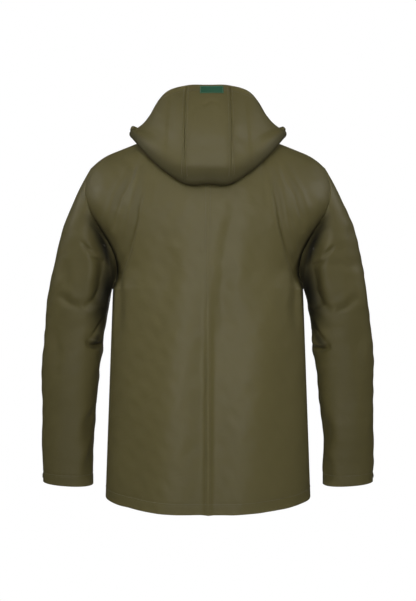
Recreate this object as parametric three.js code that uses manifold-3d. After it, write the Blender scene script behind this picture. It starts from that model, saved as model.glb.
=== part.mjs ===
// Hooded rain jacket as an assembly of sewn panels, zip, pockets, snaps and linings.
// Millimetres, +Z up, the back faces +Y, the front faces -Y, the wearer's left is +X.
// The origin is the middle of the flat underside of the hanging loop inside the back neck.
// All shapes are laid out in the body frame, whose origin is on the body's axis at nape height.

import * as THREE from 'three';
import Module from 'manifold-3d';
import { mergeVertices } from 'three/addons/utils/BufferGeometryUtils.js';

const wasm = await Module();
wasm.setup();

// ---------------------------------------------------------------- driving dimensions
const ARMPIT_Z = -311; // underarm point below the nape
const ARMPIT_X = 204; // half chest width
const HEM_Z = -750; // hem at the side seams
const HEM_X = 219.5; // half hem width
const BACK_DROP = 12; // extra length at the centre back
const BACK_DEPTH_TOP = 140; // body axis to the back, at the shoulder blades
const BACK_DEPTH_HEM = 150;
const FRONT_DEPTH_HEM = 150; // body axis to the zip line, at the hem
const SECTION_POWER = 2.3; // squareness of the body's horizontal section
const NECK_X = 86; // half width of the neckline
const NECK_BACK_Y = 68;
const NECK_FRONT_Y = 97;
const NECK_FRONT_Z = -70; // bottom of the front neckline
const NECK_FRONT_POWER = 2.6;
const SHOULDER_TOP_Z = 26; // shoulder seam at the neck
const SHOULDER_SLOPE = 0.39;
const SHOULDER_BEND_X = 205; // where the shoulder starts to roll over
const SHOULDER_BEND = 0.0065;
const SHOULDER_TIP_X = 250;
const ARMHOLE_WAVE = 18; // how far the armhole seam swings about its chord
const ARMHOLE_WAVE_POWER = 0.92; // moves the swing towards the underarm
const ARMHOLE_ROUND = 0.07; // how far the body section reaches past the armhole
const ARMHOLE_ROUND_SHARE = 0.45; // share of the armhole's height over which it gets there
const BACK_ROLL_Z = -200; // height where the back starts to curve to the shoulder
const FRONT_ROLL_DROP = 5; // the front starts to curve this far below its neckline
const FRONT_ROLL_X = 110; // and at the back's height from this distance outwards
const CUFF_OUTER_X = 361;
const CUFF_INNER_X = 252;
const CUFF_OUTER_Z = -730;
const CUFF_INNER_Z = -738;
const CUFF_Y = -40; // arms hang a little forward
const SLEEVE_DEPTH = 64; // half depth of the upper sleeve
const CUFF_DEPTH = 46;
const SLEEVE_POWER = 2.2;
const SLEEVE_OUTER_POWER = 3.8; // how soon the outer edge hangs straight
const SLEEVE_DROP_POWER = 1.8; // how slowly the inner edge leaves the underarm
const SLEEVE_INNER_POWER = 2.1;
const SLEEVE_CAP_SHARE = 0.3; // share of the sleeve shaped by the armhole
const COLLAR_HEIGHT = 55;
const COLLAR_TAPER = 0.04;
const COLLAR_INSET = 0.6; // collar inside the neckline
const COLLAR_SEAM_LIFT = 2.8; // collar above the neckline
const FACING_HEIGHT = 21; // turned-up hem and cuff allowance
const ZIP_WIDTH_GAP = 8; // centre line to the edge of each front panel
const POCKET_WIDTH = 120;
const POCKET_MIDDLE_X = 112;
const POCKET_TOP_Z = -560;
const POCKET_FLAP_HEIGHT = 56;
const POCKET_BAG_DEPTH = 130;
const SNAP_RADIUS = 6;
const LOOP_WIDTH = 40;
const LOOP_HEIGHT = 12;
const LOOP_TAPE = 8; // width of the loop's tape
const LOOP_Z = 14; // loop's flat underside above the nape
const PATCH_WIDTH = 48;
const PATCH_MIDDLE_X = -7.5;

// ---------------------------------------------------------------- cloth and clearances
const SHELL = 2; // coated outer fabric with its backing
const LINER = 1;
const SEAM_GAP = 0.6; // between two panels that are sewn edge to edge
const ARMHOLE_GAP = 0.95; // between the body and each sleeve
const UNDERARM_GAP = 3; // hanging sleeve clear of the body's side
const PLY_GAP = 0.5; // between two layers that lie on each other

const COLOURS = {
  shell: [0x5b5638, 0.42],
  liner: [0x3a3a30, 0.8],
  metal: [0xb9b8b2, 0.3, 1],
  zip: [0x2b2b24, 0.5],
  label: [0x1f5a3a, 0.7],
};

const jacket = new THREE.Group();
const body = new THREE.Group();
jacket.add(body);

// ---------------------------------------------------------------- helpers
const clamp = THREE.MathUtils.clamp;
const lerp = THREE.MathUtils.lerp;
const smooth = (t) => THREE.MathUtils.smoothstep(t, 0, 1);
const range = (n) => Array.from({ length: n }, (_, i) => i);
const spread = (from, to, n) => range(n + 1).map((i) => lerp(from, to, i / n));

function material(kind) {
  const [color, roughness, metalness = 0] = COLOURS[kind];
  return new THREE.MeshStandardMaterial({ color, roughness, metalness });
}

function add(name, geometry, kind, parent = body) {
  const mesh = new THREE.Mesh(geometry, material(kind));
  mesh.name = name;
  parent.add(mesh);
  return mesh;
}

function bisect(inside, low, high) {
  let [a, b] = [low, high];
  for (let i = 0; i < 40; i += 1) {
    const middle = (a + b) / 2;
    if (inside(middle)) a = middle;
    else b = middle;
  }
  return (a + b) / 2;
}

function signedVolume(positions, index) {
  const [a, b, c] = [new THREE.Vector3(), new THREE.Vector3(), new THREE.Vector3()];
  let volume = 0;
  for (let i = 0; i < index.length; i += 3) {
    a.fromArray(positions, index[i] * 3);
    b.fromArray(positions, index[i + 1] * 3);
    c.fromArray(positions, index[i + 2] * 3);
    volume += a.dot(b.cross(c)) / 6;
  }
  return volume;
}

// Unit normals of a grid of points, turned to face away from the point given by from().
function gridNormals(grid, closed, from) {
  const columns = grid.length;
  const rows = grid[0].length;
  const column = (i) => (closed ? (i + columns) % columns : clamp(i, 0, columns - 1));
  const at = (i, j) => grid[column(i)][clamp(j, 0, rows - 1)];
  let facing = 0;
  const normals = grid.map((points, i) => points.map((point, j) => {
    const across = at(i + 1, j).clone().sub(at(i - 1, j));
    const along = at(i, j + 1).clone().sub(at(i, j - 1));
    const normal = across.cross(along).normalize();
    facing += normal.dot(point.clone().sub(from(point)));
    return normal;
  }));
  if (facing < 0) normals.forEach((list) => list.forEach((normal) => normal.negate()));
  return normals;
}

const axisOf = (point) => new THREE.Vector3(0, 0, point.z);

// A closed sheet of cloth between two offsets of a grid: outer > inner, both along the normal.
// lock(i, j) names the axes that the offset must not follow, so that seam edges stay flat.
// across and along pick a part of the grid, so that plies of one panel share their folds.
function sheet(whole, options) {
  const { outer = 0, inner = -SHELL, closed = false, lock = () => [], from = axisOf } = options;
  const { across = [0, whole.length - 1], along = [0, whole[0].length - 1] } = options;
  const normals = gridNormals(whole, closed, from);
  const columns = across[1] - across[0] + 1;
  const rows = along[1] - along[0] + 1;
  const offset = (value, i, j) => (typeof value === 'function' ? value(i, j) : value);
  const positions = [];
  for (const side of [outer, inner]) {
    for (let i = across[0]; i <= across[1]; i += 1) {
      for (let j = along[0]; j <= along[1]; j += 1) {
        const normal = normals[i][j].clone();
        lock(i, j).forEach((axis) => { normal[axis] = 0; });
        normal.normalize();
        positions.push(...whole[i][j].clone().addScaledVector(normal, offset(side, i, j)).toArray());
      }
    }
  }
  const layer = columns * rows;
  const id = (i, j, k) => k * layer + (i % columns) * rows + j;
  const index = [];
  const quad = (a, b, c, d) => index.push(a, b, c, a, c, d);
  const spans = closed ? columns : columns - 1;
  for (let i = 0; i < spans; i += 1) {
    for (let j = 0; j < rows - 1; j += 1) {
      quad(id(i, j, 0), id(i + 1, j, 0), id(i + 1, j + 1, 0), id(i, j + 1, 0));
      quad(id(i, j, 1), id(i, j + 1, 1), id(i + 1, j + 1, 1), id(i + 1, j, 1));
    }
    quad(id(i, 0, 0), id(i, 0, 1), id(i + 1, 0, 1), id(i + 1, 0, 0));
    quad(id(i, rows - 1, 0), id(i + 1, rows - 1, 0), id(i + 1, rows - 1, 1), id(i, rows - 1, 1));
  }
  if (!closed) {
    for (let j = 0; j < rows - 1; j += 1) {
      const last = columns - 1;
      quad(id(0, j, 0), id(0, j + 1, 0), id(0, j + 1, 1), id(0, j, 1));
      quad(id(last, j, 0), id(last, j, 1), id(last, j + 1, 1), id(last, j + 1, 0));
    }
  }
  if (signedVolume(positions, index) < 0) index.reverse();
  const geometry = new THREE.BufferGeometry();
  geometry.setAttribute('position', new THREE.Float32BufferAttribute(positions, 3));
  geometry.setIndex(index);
  return geometry;
}

const mirror = (point, side) => new THREE.Vector3(point.x * side, point.y, point.z);
const mirrored = (grid, side) => grid.map((column) => column.map((point) => mirror(point, side)));

// Box between two corners, in its parent's frame.
function box(x0, x1, y0, y1, z0, z1) {
  const geometry = new THREE.BoxGeometry(x1 - x0, y1 - y0, z1 - z0);
  geometry.translate((x0 + x1) / 2, (y0 + y1) / 2, (z0 + z1) / 2);
  return geometry;
}

// Outline drawn in x and y, pulled along z.
function prism(points, z0, z1, holes = []) {
  const shape = new THREE.Shape(points.map(([x, y]) => new THREE.Vector2(x, y)));
  for (const hole of holes) {
    shape.holes.push(new THREE.Path(hole.map(([x, y]) => new THREE.Vector2(x, y))));
  }
  const geometry = new THREE.ExtrudeGeometry(shape, { depth: z1 - z0, bevelEnabled: false });
  geometry.translate(0, 0, z0);
  return geometry;
}

function solid(geometry) {
  const bare = geometry.clone();
  bare.deleteAttribute('normal');
  bare.deleteAttribute('uv');
  const merged = mergeVertices(bare);
  return new wasm.Manifold(new wasm.Mesh({
    numProp: 3,
    vertProperties: new Float32Array(merged.attributes.position.array),
    triVerts: new Uint32Array(merged.index.array),
  }));
}

function fromSolid(manifold) {
  const { vertProperties, triVerts } = manifold.getMesh();
  const geometry = new THREE.BufferGeometry();
  geometry.setAttribute('position', new THREE.Float32BufferAttribute(vertProperties, 3));
  geometry.setIndex(Array.from(triVerts));
  return geometry;
}

// ---------------------------------------------------------------- the body's surface
const BACK = 1;
const FRONT = -1;
const ZIP_RAKE = (FRONT_DEPTH_HEM - NECK_FRONT_Y) / (NECK_FRONT_Z - HEM_Z);
const roundOff = (share, power) => Math.max(0, 1 - Math.abs(share) ** power) ** (1 / power);

function shoulderZ(x) {
  const past = Math.max(0, x - SHOULDER_BEND_X);
  return SHOULDER_TOP_Z - SHOULDER_SLOPE * Math.max(0, x - NECK_X) - SHOULDER_BEND * past * past;
}
const SHOULDER_TIP_Z = shoulderZ(SHOULDER_TIP_X);

const armholeShare = (z) => clamp((z - ARMPIT_Z) / (SHOULDER_TIP_Z - ARMPIT_Z), 0, 1);

function edgeX(z) {
  if (z <= ARMPIT_Z) return lerp(ARMPIT_X, HEM_X, (ARMPIT_Z - z) / (ARMPIT_Z - HEM_Z));
  const share = armholeShare(z);
  return lerp(ARMPIT_X, SHOULDER_TIP_X, share)
    - ARMHOLE_WAVE * Math.sin(2 * Math.PI * share ** ARMHOLE_WAVE_POWER);
}

// Half width of the body's section, which reaches past the armhole seam.
const virtualX = (z) => edgeX(z) * (1 + ARMHOLE_ROUND * smooth(armholeShare(z) / ARMHOLE_ROUND_SHARE));

function depthAt(face, z) {
  if (face === FRONT) return NECK_FRONT_Y + (NECK_FRONT_Z - z) * ZIP_RAKE;
  const share = clamp((BACK_ROLL_Z - z) / (BACK_ROLL_Z - HEM_Z), 0, 1.1);
  return lerp(BACK_DEPTH_TOP, BACK_DEPTH_HEM, share);
}

function rollZ(face, x) {
  if (face === BACK) return BACK_ROLL_Z;
  return lerp(NECK_FRONT_Z - FRONT_ROLL_DROP, BACK_ROLL_Z, smooth(x / FRONT_ROLL_X));
}

function rollShare(face, x, z) {
  const start = rollZ(face, x);
  return clamp((z - start) / (shoulderZ(x) - start), 0, 1);
}

function surfaceY(face, x, z) {
  const share = rollShare(face, x, z);
  const flat = depthAt(face, z) * roundOff(x / virtualX(z), SECTION_POWER);
  return face * flat * Math.sqrt(1 - share * share);
}

const neckY = (face, x) => (face === BACK
  ? NECK_BACK_Y * Math.sqrt(Math.max(0, 1 - (x / NECK_X) ** 2))
  : -NECK_FRONT_Y * roundOff(x / NECK_X, NECK_FRONT_POWER));

const NECK_SEARCH = [-150, 60]; // heights between which the top edges are sought

function topZ(face, q) {
  return bisect((z) => {
    const x = q * edgeX(z);
    if (z >= shoulderZ(x)) return false;
    return x >= NECK_X || Math.abs(surfaceY(face, x, z)) > Math.abs(neckY(face, x));
  }, ...NECK_SEARCH);
}

function neckZ(face, x) {
  const inside = (z) => z < shoulderZ(x) && Math.abs(surfaceY(face, x, z)) > Math.abs(neckY(face, x));
  return bisect(inside, ...NECK_SEARCH);
}

// Outward normal of the body's surface at a point on it.
function surfaceNormal(face, point) {
  const level = (x, y, z) => {
    const share = rollShare(face, x, z);
    const flat = depthAt(face, z) * roundOff(x / virtualX(z), SECTION_POWER);
    return (y / flat) ** 2 + share * share;
  };
  const { y, z } = point;
  const x = Math.abs(point.x);
  const side = point.x < 0 ? -1 : 1;
  const e = 0.01;
  return new THREE.Vector3(
    side * (level(x, y, z) - level(x - e, y, z)),
    level(x, y + e / 2, z) - level(x, y - e / 2, z),
    level(x, y, z) - level(x, y, z - e),
  ).normalize();
}

function surfacePoint(face, x, z, lift = 0) {
  const point = new THREE.Vector3(x, surfaceY(face, Math.abs(x), z), z);
  return point.addScaledVector(surfaceNormal(face, point), lift);
}

// ---------------------------------------------------------------- body panels
const NECK_COLUMNS = 4;
const SIDE_COLUMNS = 8;
const LOWER_ROWS = 6;
const ARM_ROWS = 8;
const NECK_Q = NECK_X / SHOULDER_TIP_X;
const FACING_GAP = 3; // between the hem's facing and the lining above it

function columnShares(first) {
  const neck = spread(first, NECK_Q, NECK_COLUMNS);
  const side = range(SIDE_COLUMNS).map((i) => NECK_Q
    + (1 - NECK_Q) * Math.sin(((i + 1) / SIDE_COLUMNS) * Math.PI / 2));
  return [...neck, ...side];
}

const armRow = (k) => (1 - Math.cos((Math.PI * k) / ARM_ROWS)) / 2;

function hemAt(face, q) {
  return face === BACK ? HEM_Z - BACK_DROP * (1 - q * q) : HEM_Z;
}

// One side of the back or the front, from its centre edge to the side seam and armhole.
function panelGrid(face, centreX) {
  const shares = columnShares(centreX / edgeX(HEM_Z));
  return shares.map((q, i) => {
    const high = topZ(face, q);
    const low = hemAt(face, q);
    const heights = [
      low,
      low + FACING_HEIGHT,
      ...spread(low + FACING_HEIGHT + FACING_GAP, ARMPIT_Z, LOWER_ROWS - 2).slice(0, -1),
      ...range(ARM_ROWS + 1).map((row) => lerp(ARMPIT_Z, high, armRow(row))),
    ];
    return heights.map((z) => {
      const x = i === 0 ? centreX : q * edgeX(z);
      const y = surfaceY(face, x, z);
      return new THREE.Vector3(x, face * Math.max(Math.abs(y), SEAM_GAP / 2), z);
    });
  });
}

function panelLock(i, j) {
  const axes = [];
  const last = NECK_COLUMNS + SIDE_COLUMNS;
  if (i === 0) axes.push('x');
  if (i === last && j <= LOWER_ROWS) axes.push('y');
  if (i >= NECK_COLUMNS && j === LOWER_ROWS + ARM_ROWS) axes.push('y');
  if (j === 0) axes.push('z');
  return axes;
}

const LAST_COLUMN = NECK_COLUMNS + SIDE_COLUMNS;
const LAST_ROW = LOWER_ROWS + ARM_ROWS;
const ply = (depth, thickness) => ({ outer: -depth, inner: -depth - thickness });
const LINING_DEPTH = SHELL + PLY_GAP;
const FRONT_LINING_DEPTH = LINING_DEPTH + SHELL + PLY_GAP; // leaves room for the pocket bags
const CHEST_LINING_DEPTH = LINING_DEPTH + 5 * PLY_GAP;

function bodyPanels(name, side) {
  const back = mirrored(panelGrid(BACK, SEAM_GAP / 2), side);
  const front = mirrored(panelGrid(FRONT, ZIP_WIDTH_GAP), side);
  const lock = panelLock;
  add(`back_panel_${name}`, sheet(back, { lock }), 'shell');
  add(`front_panel_${name}`, sheet(front, { lock }), 'shell');
  const hem = { ...ply(LINING_DEPTH, LINER), along: [0, 1], lock };
  add(`hem_facing_back_${name}`, sheet(back, hem), 'shell');
  add(`hem_facing_front_${name}`, sheet(front, { ...hem, across: [1, LAST_COLUMN] }), 'shell');
  const above = { along: [2, LAST_ROW], lock };
  add(`lining_back_${name}`, sheet(back, { ...ply(LINING_DEPTH, LINER), ...above }), 'liner');
  const depth = (j) => (j < LOWER_ROWS ? FRONT_LINING_DEPTH : CHEST_LINING_DEPTH);
  const hung = { outer: (i, j) => -depth(j), inner: (i, j) => -depth(j) - LINER };
  const part = { across: [1, LAST_COLUMN], along: [2, LAST_ROW - 2] };
  add(`lining_front_${name}`, sheet(front, { ...hung, ...part, lock }), 'liner');
}

// ---------------------------------------------------------------- sleeves
const RING = 2 * ARM_ROWS;

const FIRST_SHARE = 0.04; // first ring clear of the armhole seam

// Outer and inner edge of the sleeve at a share of its length from the armhole.
function sleeveRail(t) {
  const outerShare = 1 - (1 - t) ** SLEEVE_OUTER_POWER;
  const drop = t ** SLEEVE_DROP_POWER;
  const innerShare = 1 - (1 - drop) ** SLEEVE_INNER_POWER;
  const innerStart = ARMPIT_X + UNDERARM_GAP * smooth(t / FIRST_SHARE);
  const outerX = lerp(SHOULDER_TIP_X, CUFF_OUTER_X, outerShare);
  return {
    outer: new THREE.Vector2(outerX, lerp(SHOULDER_TIP_Z, CUFF_OUTER_Z, t)),
    inner: new THREE.Vector2(lerp(innerStart, CUFF_INNER_X, innerShare), lerp(ARMPIT_Z, CUFF_INNER_Z, drop)),
  };
}

function plainRing(t) {
  const { outer, inner } = sleeveRail(t);
  const power = 2 / SLEEVE_POWER;
  const deep = lerp(SLEEVE_DEPTH, CUFF_DEPTH, t);
  return range(RING).map((j) => {
    const angle = (2 * Math.PI * j) / RING;
    const c = Math.sign(Math.cos(angle)) * Math.abs(Math.cos(angle)) ** power;
    const s = Math.sign(Math.sin(angle)) * Math.abs(Math.sin(angle)) ** power;
    return new THREE.Vector3(
      (outer.x + inner.x) / 2 + (c * (outer.x - inner.x)) / 2,
      CUFF_Y * t + s * deep,
      (outer.y + inner.y) / 2 + (c * (outer.y - inner.y)) / 2,
    );
  });
}

function armholeLoop() {
  return range(RING).map((j) => {
    const share = (1 + Math.cos((2 * Math.PI * j) / RING)) / 2;
    const z = lerp(ARMPIT_Z, SHOULDER_TIP_Z, share);
    const face = j <= ARM_ROWS ? BACK : FRONT;
    const x = edgeX(z);
    return new THREE.Vector3(x, surfaceY(face, x, z), z);
  });
}

const ARMHOLE = armholeLoop();
const FIRST_RING = plainRing(0);

function sleeveRing(t) {
  const fade = 1 - smooth(t / SLEEVE_CAP_SHARE);
  return plainRing(t).map((p, j) => p.addScaledVector(ARMHOLE[j].clone().sub(FIRST_RING[j]), fade));
}

const FACING_SHARE = FACING_HEIGHT / (SHOULDER_TIP_Z - CUFF_OUTER_Z);
const MIDDLE_SHARES = spread(0.1, 0.99 - FACING_SHARE, 7);
const SLEEVE_SHARES = [0, FIRST_SHARE, ...MIDDLE_SHARES, 1 - FACING_SHARE, 1];
const LAST_RING = SLEEVE_SHARES.length - 1;

const SEAM_LEAN = 1.6; // how much the armhole gap leans away from the body

// Columns run round the sleeve, rows run from the armhole to the cuff.
function sleeveGrid() {
  const rings = SLEEVE_SHARES.map((t) => sleeveRing(t));
  rings[0] = rings[0].map((p, j) => {
    const away = rings[1][j].clone().sub(p).normalize();
    away.x += SEAM_LEAN;
    return p.addScaledVector(away.normalize(), ARMHOLE_GAP);
  });
  return range(RING).map((j) => rings.map((ring) => ring[j]));
}

function sleeveMiddle(point) {
  const t = clamp((SHOULDER_TIP_Z - point.z) / (SHOULDER_TIP_Z - CUFF_OUTER_Z), 0, 1);
  const { outer, inner } = sleeveRail(t);
  const side = point.x < 0 ? -1 : 1;
  return new THREE.Vector3((side * (outer.x + inner.x)) / 2, CUFF_Y * t, point.z);
}

function sleeve(name, side) {
  const grid = mirrored(sleeveGrid(), side);
  const around = { closed: true, from: sleeveMiddle };
  const inside = { ...around, ...ply(LINING_DEPTH, LINER) };
  add(`sleeve_${name}`, sheet(grid, around), 'shell');
  add(`sleeve_lining_${name}`, sheet(grid, { ...inside, along: [1, LAST_RING - 2] }), 'liner');
  add(`cuff_facing_${name}`, sheet(grid, { ...inside, along: [LAST_RING - 1, LAST_RING] }), 'shell');
}

// ---------------------------------------------------------------- hood
// Each column runs from the neckline over the shoulders (sole), turns back on itself (fold)
// and rises to the free edge (brim). Stations are listed from the centre back to the front.
const HOOD_STATIONS = [
  { neck: 0, foot: [0, -97], lift: [1, 4], fold: 12, brim: [0, 82, 108] },
  { neck: 0.17, foot: [45, -97], lift: [1, 4], fold: 12, brim: [44, 81, 107] },
  { neck: 0.34, foot: [98, -60], lift: [1, 5], fold: 10, brim: [89, 66, 95] },
  { neck: 0.48, foot: [140, -14], lift: [3, 10], fold: 9, brim: [122, 24, 58] },
  { neck: 0.56, foot: [150, 0], lift: [9, 13], fold: 8, brim: [133, -16, 24] },
  { neck: 0.73, foot: [112, -22], lift: [9, 12], fold: 8, brim: [112, -64, -2] },
  { neck: 0.9, foot: [74, -56], lift: [4, 7], fold: 7, brim: [70, -98, -20] },
];
const STRIP = 1; // the centre panel ends at this station
const LAST_STATION = HOOD_STATIONS.length - 1;
const SHOULDER_STATION = 4; // this station lies on the shoulder seam
const SHOULDER_CLEAR = 0.5; // hood's heights stay this far below the shoulder seam's crest
const SOLE_START = 0.04; // share of the sole taken by its seam at the neck
const SEAM_SHARE = 0.35; // share of the sole over which it lifts off its seam
const FOLD_TURN = Math.PI * 0.9;
const RISE_LEAVE = { out: -0.12, normal: 0.16, up: 0.2 }; // pull on the wall above the fold
const RISE_ARRIVE = { back: 0.35, normal: 0.16 }; // pull on the wall below the brim
const SOLE_ROWS = 4;
const FOLD_ROWS = 4;
const RISE_ROWS = 5;
const HOOD_ROWS = SOLE_ROWS + 1 + FOLD_ROWS + RISE_ROWS;

// Smooth value of a list at a fractional place.
function along(values, place) {
  const i = clamp(Math.floor(place), 0, values.length - 2);
  const at = (k) => values[clamp(k, 0, values.length - 1)];
  const t = place - i;
  const before = i === 0 ? 2 * at(0) - at(1) : at(i - 1);
  const slope = (a, b) => (b - a) / 2;
  const m0 = slope(before, at(i + 1));
  const m1 = slope(at(i), i + 2 < values.length ? at(i + 2) : 2 * at(i + 1) - at(i));
  const h = (2 * t ** 3 - 3 * t ** 2 + 1) * at(i) + (t ** 3 - 2 * t ** 2 + t) * m0;
  return h + (-2 * t ** 3 + 3 * t ** 2) * at(i + 1) + (t ** 3 - t ** 2) * m1;
}

const stationValue = (place, pick) => along(HOOD_STATIONS.map(pick), place);

// Neckline point at a share of the way from the nape (0) to the zip (1).
function neckPoint(share) {
  const angle = share * Math.PI;
  const x = NECK_X * Math.sin(angle);
  const face = share <= 0.5 ? BACK : FRONT;
  return { face, x, y: neckY(face, x), z: neckZ(face, x) };
}

function hoodColumn(place) {
  const neck = neckPoint(stationValue(place, (s) => s.neck));
  const face = place < SHOULDER_STATION ? BACK : FRONT;
  const footX = stationValue(place, (s) => s.foot[0]);
  const footZ = Math.min(stationValue(place, (s) => s.foot[1]), shoulderZ(footX) - SHOULDER_CLEAR);
  const startX = neck.face === face ? neck.x : NECK_X;
  const startZ = neck.face === face ? neck.z : shoulderZ(NECK_X) - SHOULDER_CLEAR;
  const [seamLift, restLift] = [0, 1].map((n) => stationValue(place, (s) => s.lift[n]));
  const points = [];
  for (const share of spread(SOLE_START, 1, SOLE_ROWS)) {
    const x = lerp(startX, footX, share);
    const z = Math.min(lerp(startZ, footZ, share), shoulderZ(x) - SHOULDER_CLEAR);
    const lift = lerp(seamLift, restLift, smooth(share / SEAM_SHARE));
    points.push(surfacePoint(face, x, z, lift));
  }
  const foot = points[SOLE_ROWS];
  const normal = surfaceNormal(face, surfacePoint(face, footX, footZ));
  const out = foot.clone().sub(points[SOLE_ROWS - 1]).normalize();
  out.addScaledVector(normal, -out.dot(normal)).normalize();
  const radius = stationValue(place, (s) => s.fold);
  const centre = foot.clone().addScaledVector(normal, radius);
  for (const turn of spread(0, FOLD_TURN, FOLD_ROWS).slice(1)) {
    points.push(centre.clone()
      .addScaledVector(normal, -radius * Math.cos(turn))
      .addScaledVector(out, radius * Math.sin(turn)));
  }
  const brim = new THREE.Vector3(...[0, 1, 2].map((axis) => stationValue(place, (s) => s.brim[axis])));
  const start = points[points.length - 1];
  const reach = start.distanceTo(brim);
  const leave = start.clone().addScaledVector(out, RISE_LEAVE.out * reach);
  leave.addScaledVector(normal, RISE_LEAVE.normal * reach);
  leave.z += RISE_LEAVE.up * reach;
  const arrive = brim.clone().lerp(start, RISE_ARRIVE.back);
  arrive.addScaledVector(normal, RISE_ARRIVE.normal * reach);
  const curve = new THREE.CubicBezierCurve3(start, leave, arrive, brim);
  for (const share of spread(0, 1, RISE_ROWS).slice(1)) points.push(curve.getPoint(share));
  return points;
}

// A point inside the lowered hood, which its wall faces away from.
const hoodHeart = () => new THREE.Vector3(0, 60, 40);

const HOOD_SIDE_COLUMNS = 12;
const STRIP_WIDTH = 90; // centre panel, between its two seams
const HOOD_SEAM = SEAM_GAP / STRIP_WIDTH;
const LINING_TRIM = 4; // columns at each front end of the hood that have no lining

function hoodGrid(places) {
  return places.map((place) => hoodColumn(Math.abs(place)).map((p) => new THREE.Vector3(
    place < 0 ? -p.x : p.x, p.y, p.z)));
}

function hood() {
  const side = spread(STRIP + HOOD_SEAM, LAST_STATION, HOOD_SIDE_COLUMNS);
  const strip = spread(-STRIP + HOOD_SEAM, STRIP - HOOD_SEAM, 4);
  const places = [...side.map((place) => -place).reverse(), ...strip, ...side];
  const grid = hoodGrid(places);
  const from = hoodHeart;
  const last = grid.length - 1;
  const turn = HOOD_SIDE_COLUMNS;
  const seams = [turn, turn + 1, last - turn - 1, last - turn];
  const lock = (i) => (seams.includes(i) ? ['x'] : []);
  add('hood_centre_panel', sheet(grid, { from, lock, across: [turn + 1, last - turn - 1] }), 'shell');
  add('hood_side_panel_right', sheet(grid, { from, lock, across: [0, turn] }), 'shell');
  add('hood_side_panel_left', sheet(grid, { from, lock, across: [last - turn, last] }), 'shell');
  const wall = [SOLE_ROWS + FOLD_ROWS + 1, HOOD_ROWS - 1];
  const lined = { across: [LINING_TRIM, last - LINING_TRIM], along: wall };
  add('hood_lining', sheet(grid, { ...ply(LINING_DEPTH, LINER), ...lined, from, lock }), 'liner');
}

// ---------------------------------------------------------------- collar
const COLLAR_LINING_X = 17; // leaves the zip tape free at the front
const COLLAR_COLUMNS = 24;

function collar() {
  const angleAt = (x) => Math.PI - Math.asin(x / NECK_X);
  const inner = angleAt(COLLAR_LINING_X);
  const ends = angleAt(ZIP_WIDTH_GAP);
  const angles = [-ends, ...spread(-inner, inner, COLLAR_COLUMNS), ends];
  const grid = angles.map((angle) => {
    const { x, y, z } = neckPoint(Math.abs(angle) / Math.PI);
    return [COLLAR_SEAM_LIFT, COLLAR_HEIGHT / 2, COLLAR_HEIGHT].map((rise) => {
      const scale = 1 - (COLLAR_TAPER * rise) / COLLAR_HEIGHT;
      return new THREE.Vector3(Math.sign(angle) * x * scale, y * scale, z + rise);
    });
  });
  const lock = () => ['z'];
  add('collar_outer', sheet(grid, { ...ply(COLLAR_INSET, SHELL), lock }), 'shell');
  const lining = { ...ply(COLLAR_INSET + SHELL + PLY_GAP, LINER), lock, across: [1, COLLAR_COLUMNS + 1] };
  add('collar_inner', sheet(grid, lining), 'liner');
}

// ---------------------------------------------------------------- zip
// The zip lies in a group of its own: Z runs up the straight front edge from the hem,
// -Y points out of the jacket, and y = 0 is the outer face of the front panels.
const ZIP_LENGTH = (NECK_FRONT_Z + COLLAR_HEIGHT - HEM_Z) * Math.hypot(1, ZIP_RAKE);
const TEETH_GAP = 0.5; // centre line to each row of teeth
const TEETH_WIDTH = 3.2; // centre line to the outer side of each row
const TEETH = [2, 5]; // depth of the front and back faces of the teeth
const TAPE = [3, 4];
const TAPE_WIDTH = 12.5;
const RUN_GAP = 0.4; // slider's running clearance
const SLIDER_WIDTH = 10.5;
const SLIDER_LENGTH = 11;
const SLIDER_PLATE = 1.5;
const SLIDER_POST = 0.2; // half thickness of the slider's middle post
const TEETH_ENDS = [18, 10]; // below and above the rows of teeth
const TAPE_ENDS = [12, 5]; // tape past the rows of teeth
const TAPE_GAP = 0.3; // between the teeth and the tape, and between the teeth and their stops
const STOP_HEIGHT = 3;
const BOX_BASE = 9; // lower end of the bottom box
const ARCH = { width: 3, inside: [4.4, 2.1], wall: 1 };
const PULLER = { thick: 1.2, wide: 8.4, long: 30, bar: 1.2, slot: 4.6, slotWide: 4, chamfer: [2, 3] };
const PLACKET = { half: 24, depth: 8.4, thick: 1, foot: 5, top: 76 };

const zip = new THREE.Group();
zip.position.set(0, -FRONT_DEPTH_HEM, HEM_Z);
zip.rotation.x = -Math.atan(ZIP_RAKE);
body.add(zip);

const sliderRest = ZIP_LENGTH - TEETH_ENDS[1] - SLIDER_LENGTH / 2 - 0.5;
const plateFront = TEETH[0] - RUN_GAP - SLIDER_PLATE;
const plateBack = TEETH[1] + RUN_GAP + SLIDER_PLATE;

function zipHalf(name, side) {
  const [low, high] = [TEETH_ENDS[0], ZIP_LENGTH - TEETH_ENDS[1]];
  const span = (a, b) => [Math.min(a * side, b * side), Math.max(a * side, b * side)];
  const inner = span(TEETH_GAP, TEETH_WIDTH);
  const outer = span(TEETH_WIDTH + TAPE_GAP, TAPE_WIDTH);
  add(`zip_teeth_${name}`, box(...inner, ...TEETH, low, high), 'metal', zip);
  const tape = [low - TAPE_ENDS[0], high + TAPE_ENDS[1]];
  add(`zip_tape_${name}`, box(...outer, ...TAPE, ...tape), 'zip', zip);
  const stop = [high + TAPE_GAP, high + TAPE_GAP + STOP_HEIGHT];
  add(`zip_top_stop_${name}`, box(...inner, ...TEETH, ...stop), 'metal', zip);
}

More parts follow.
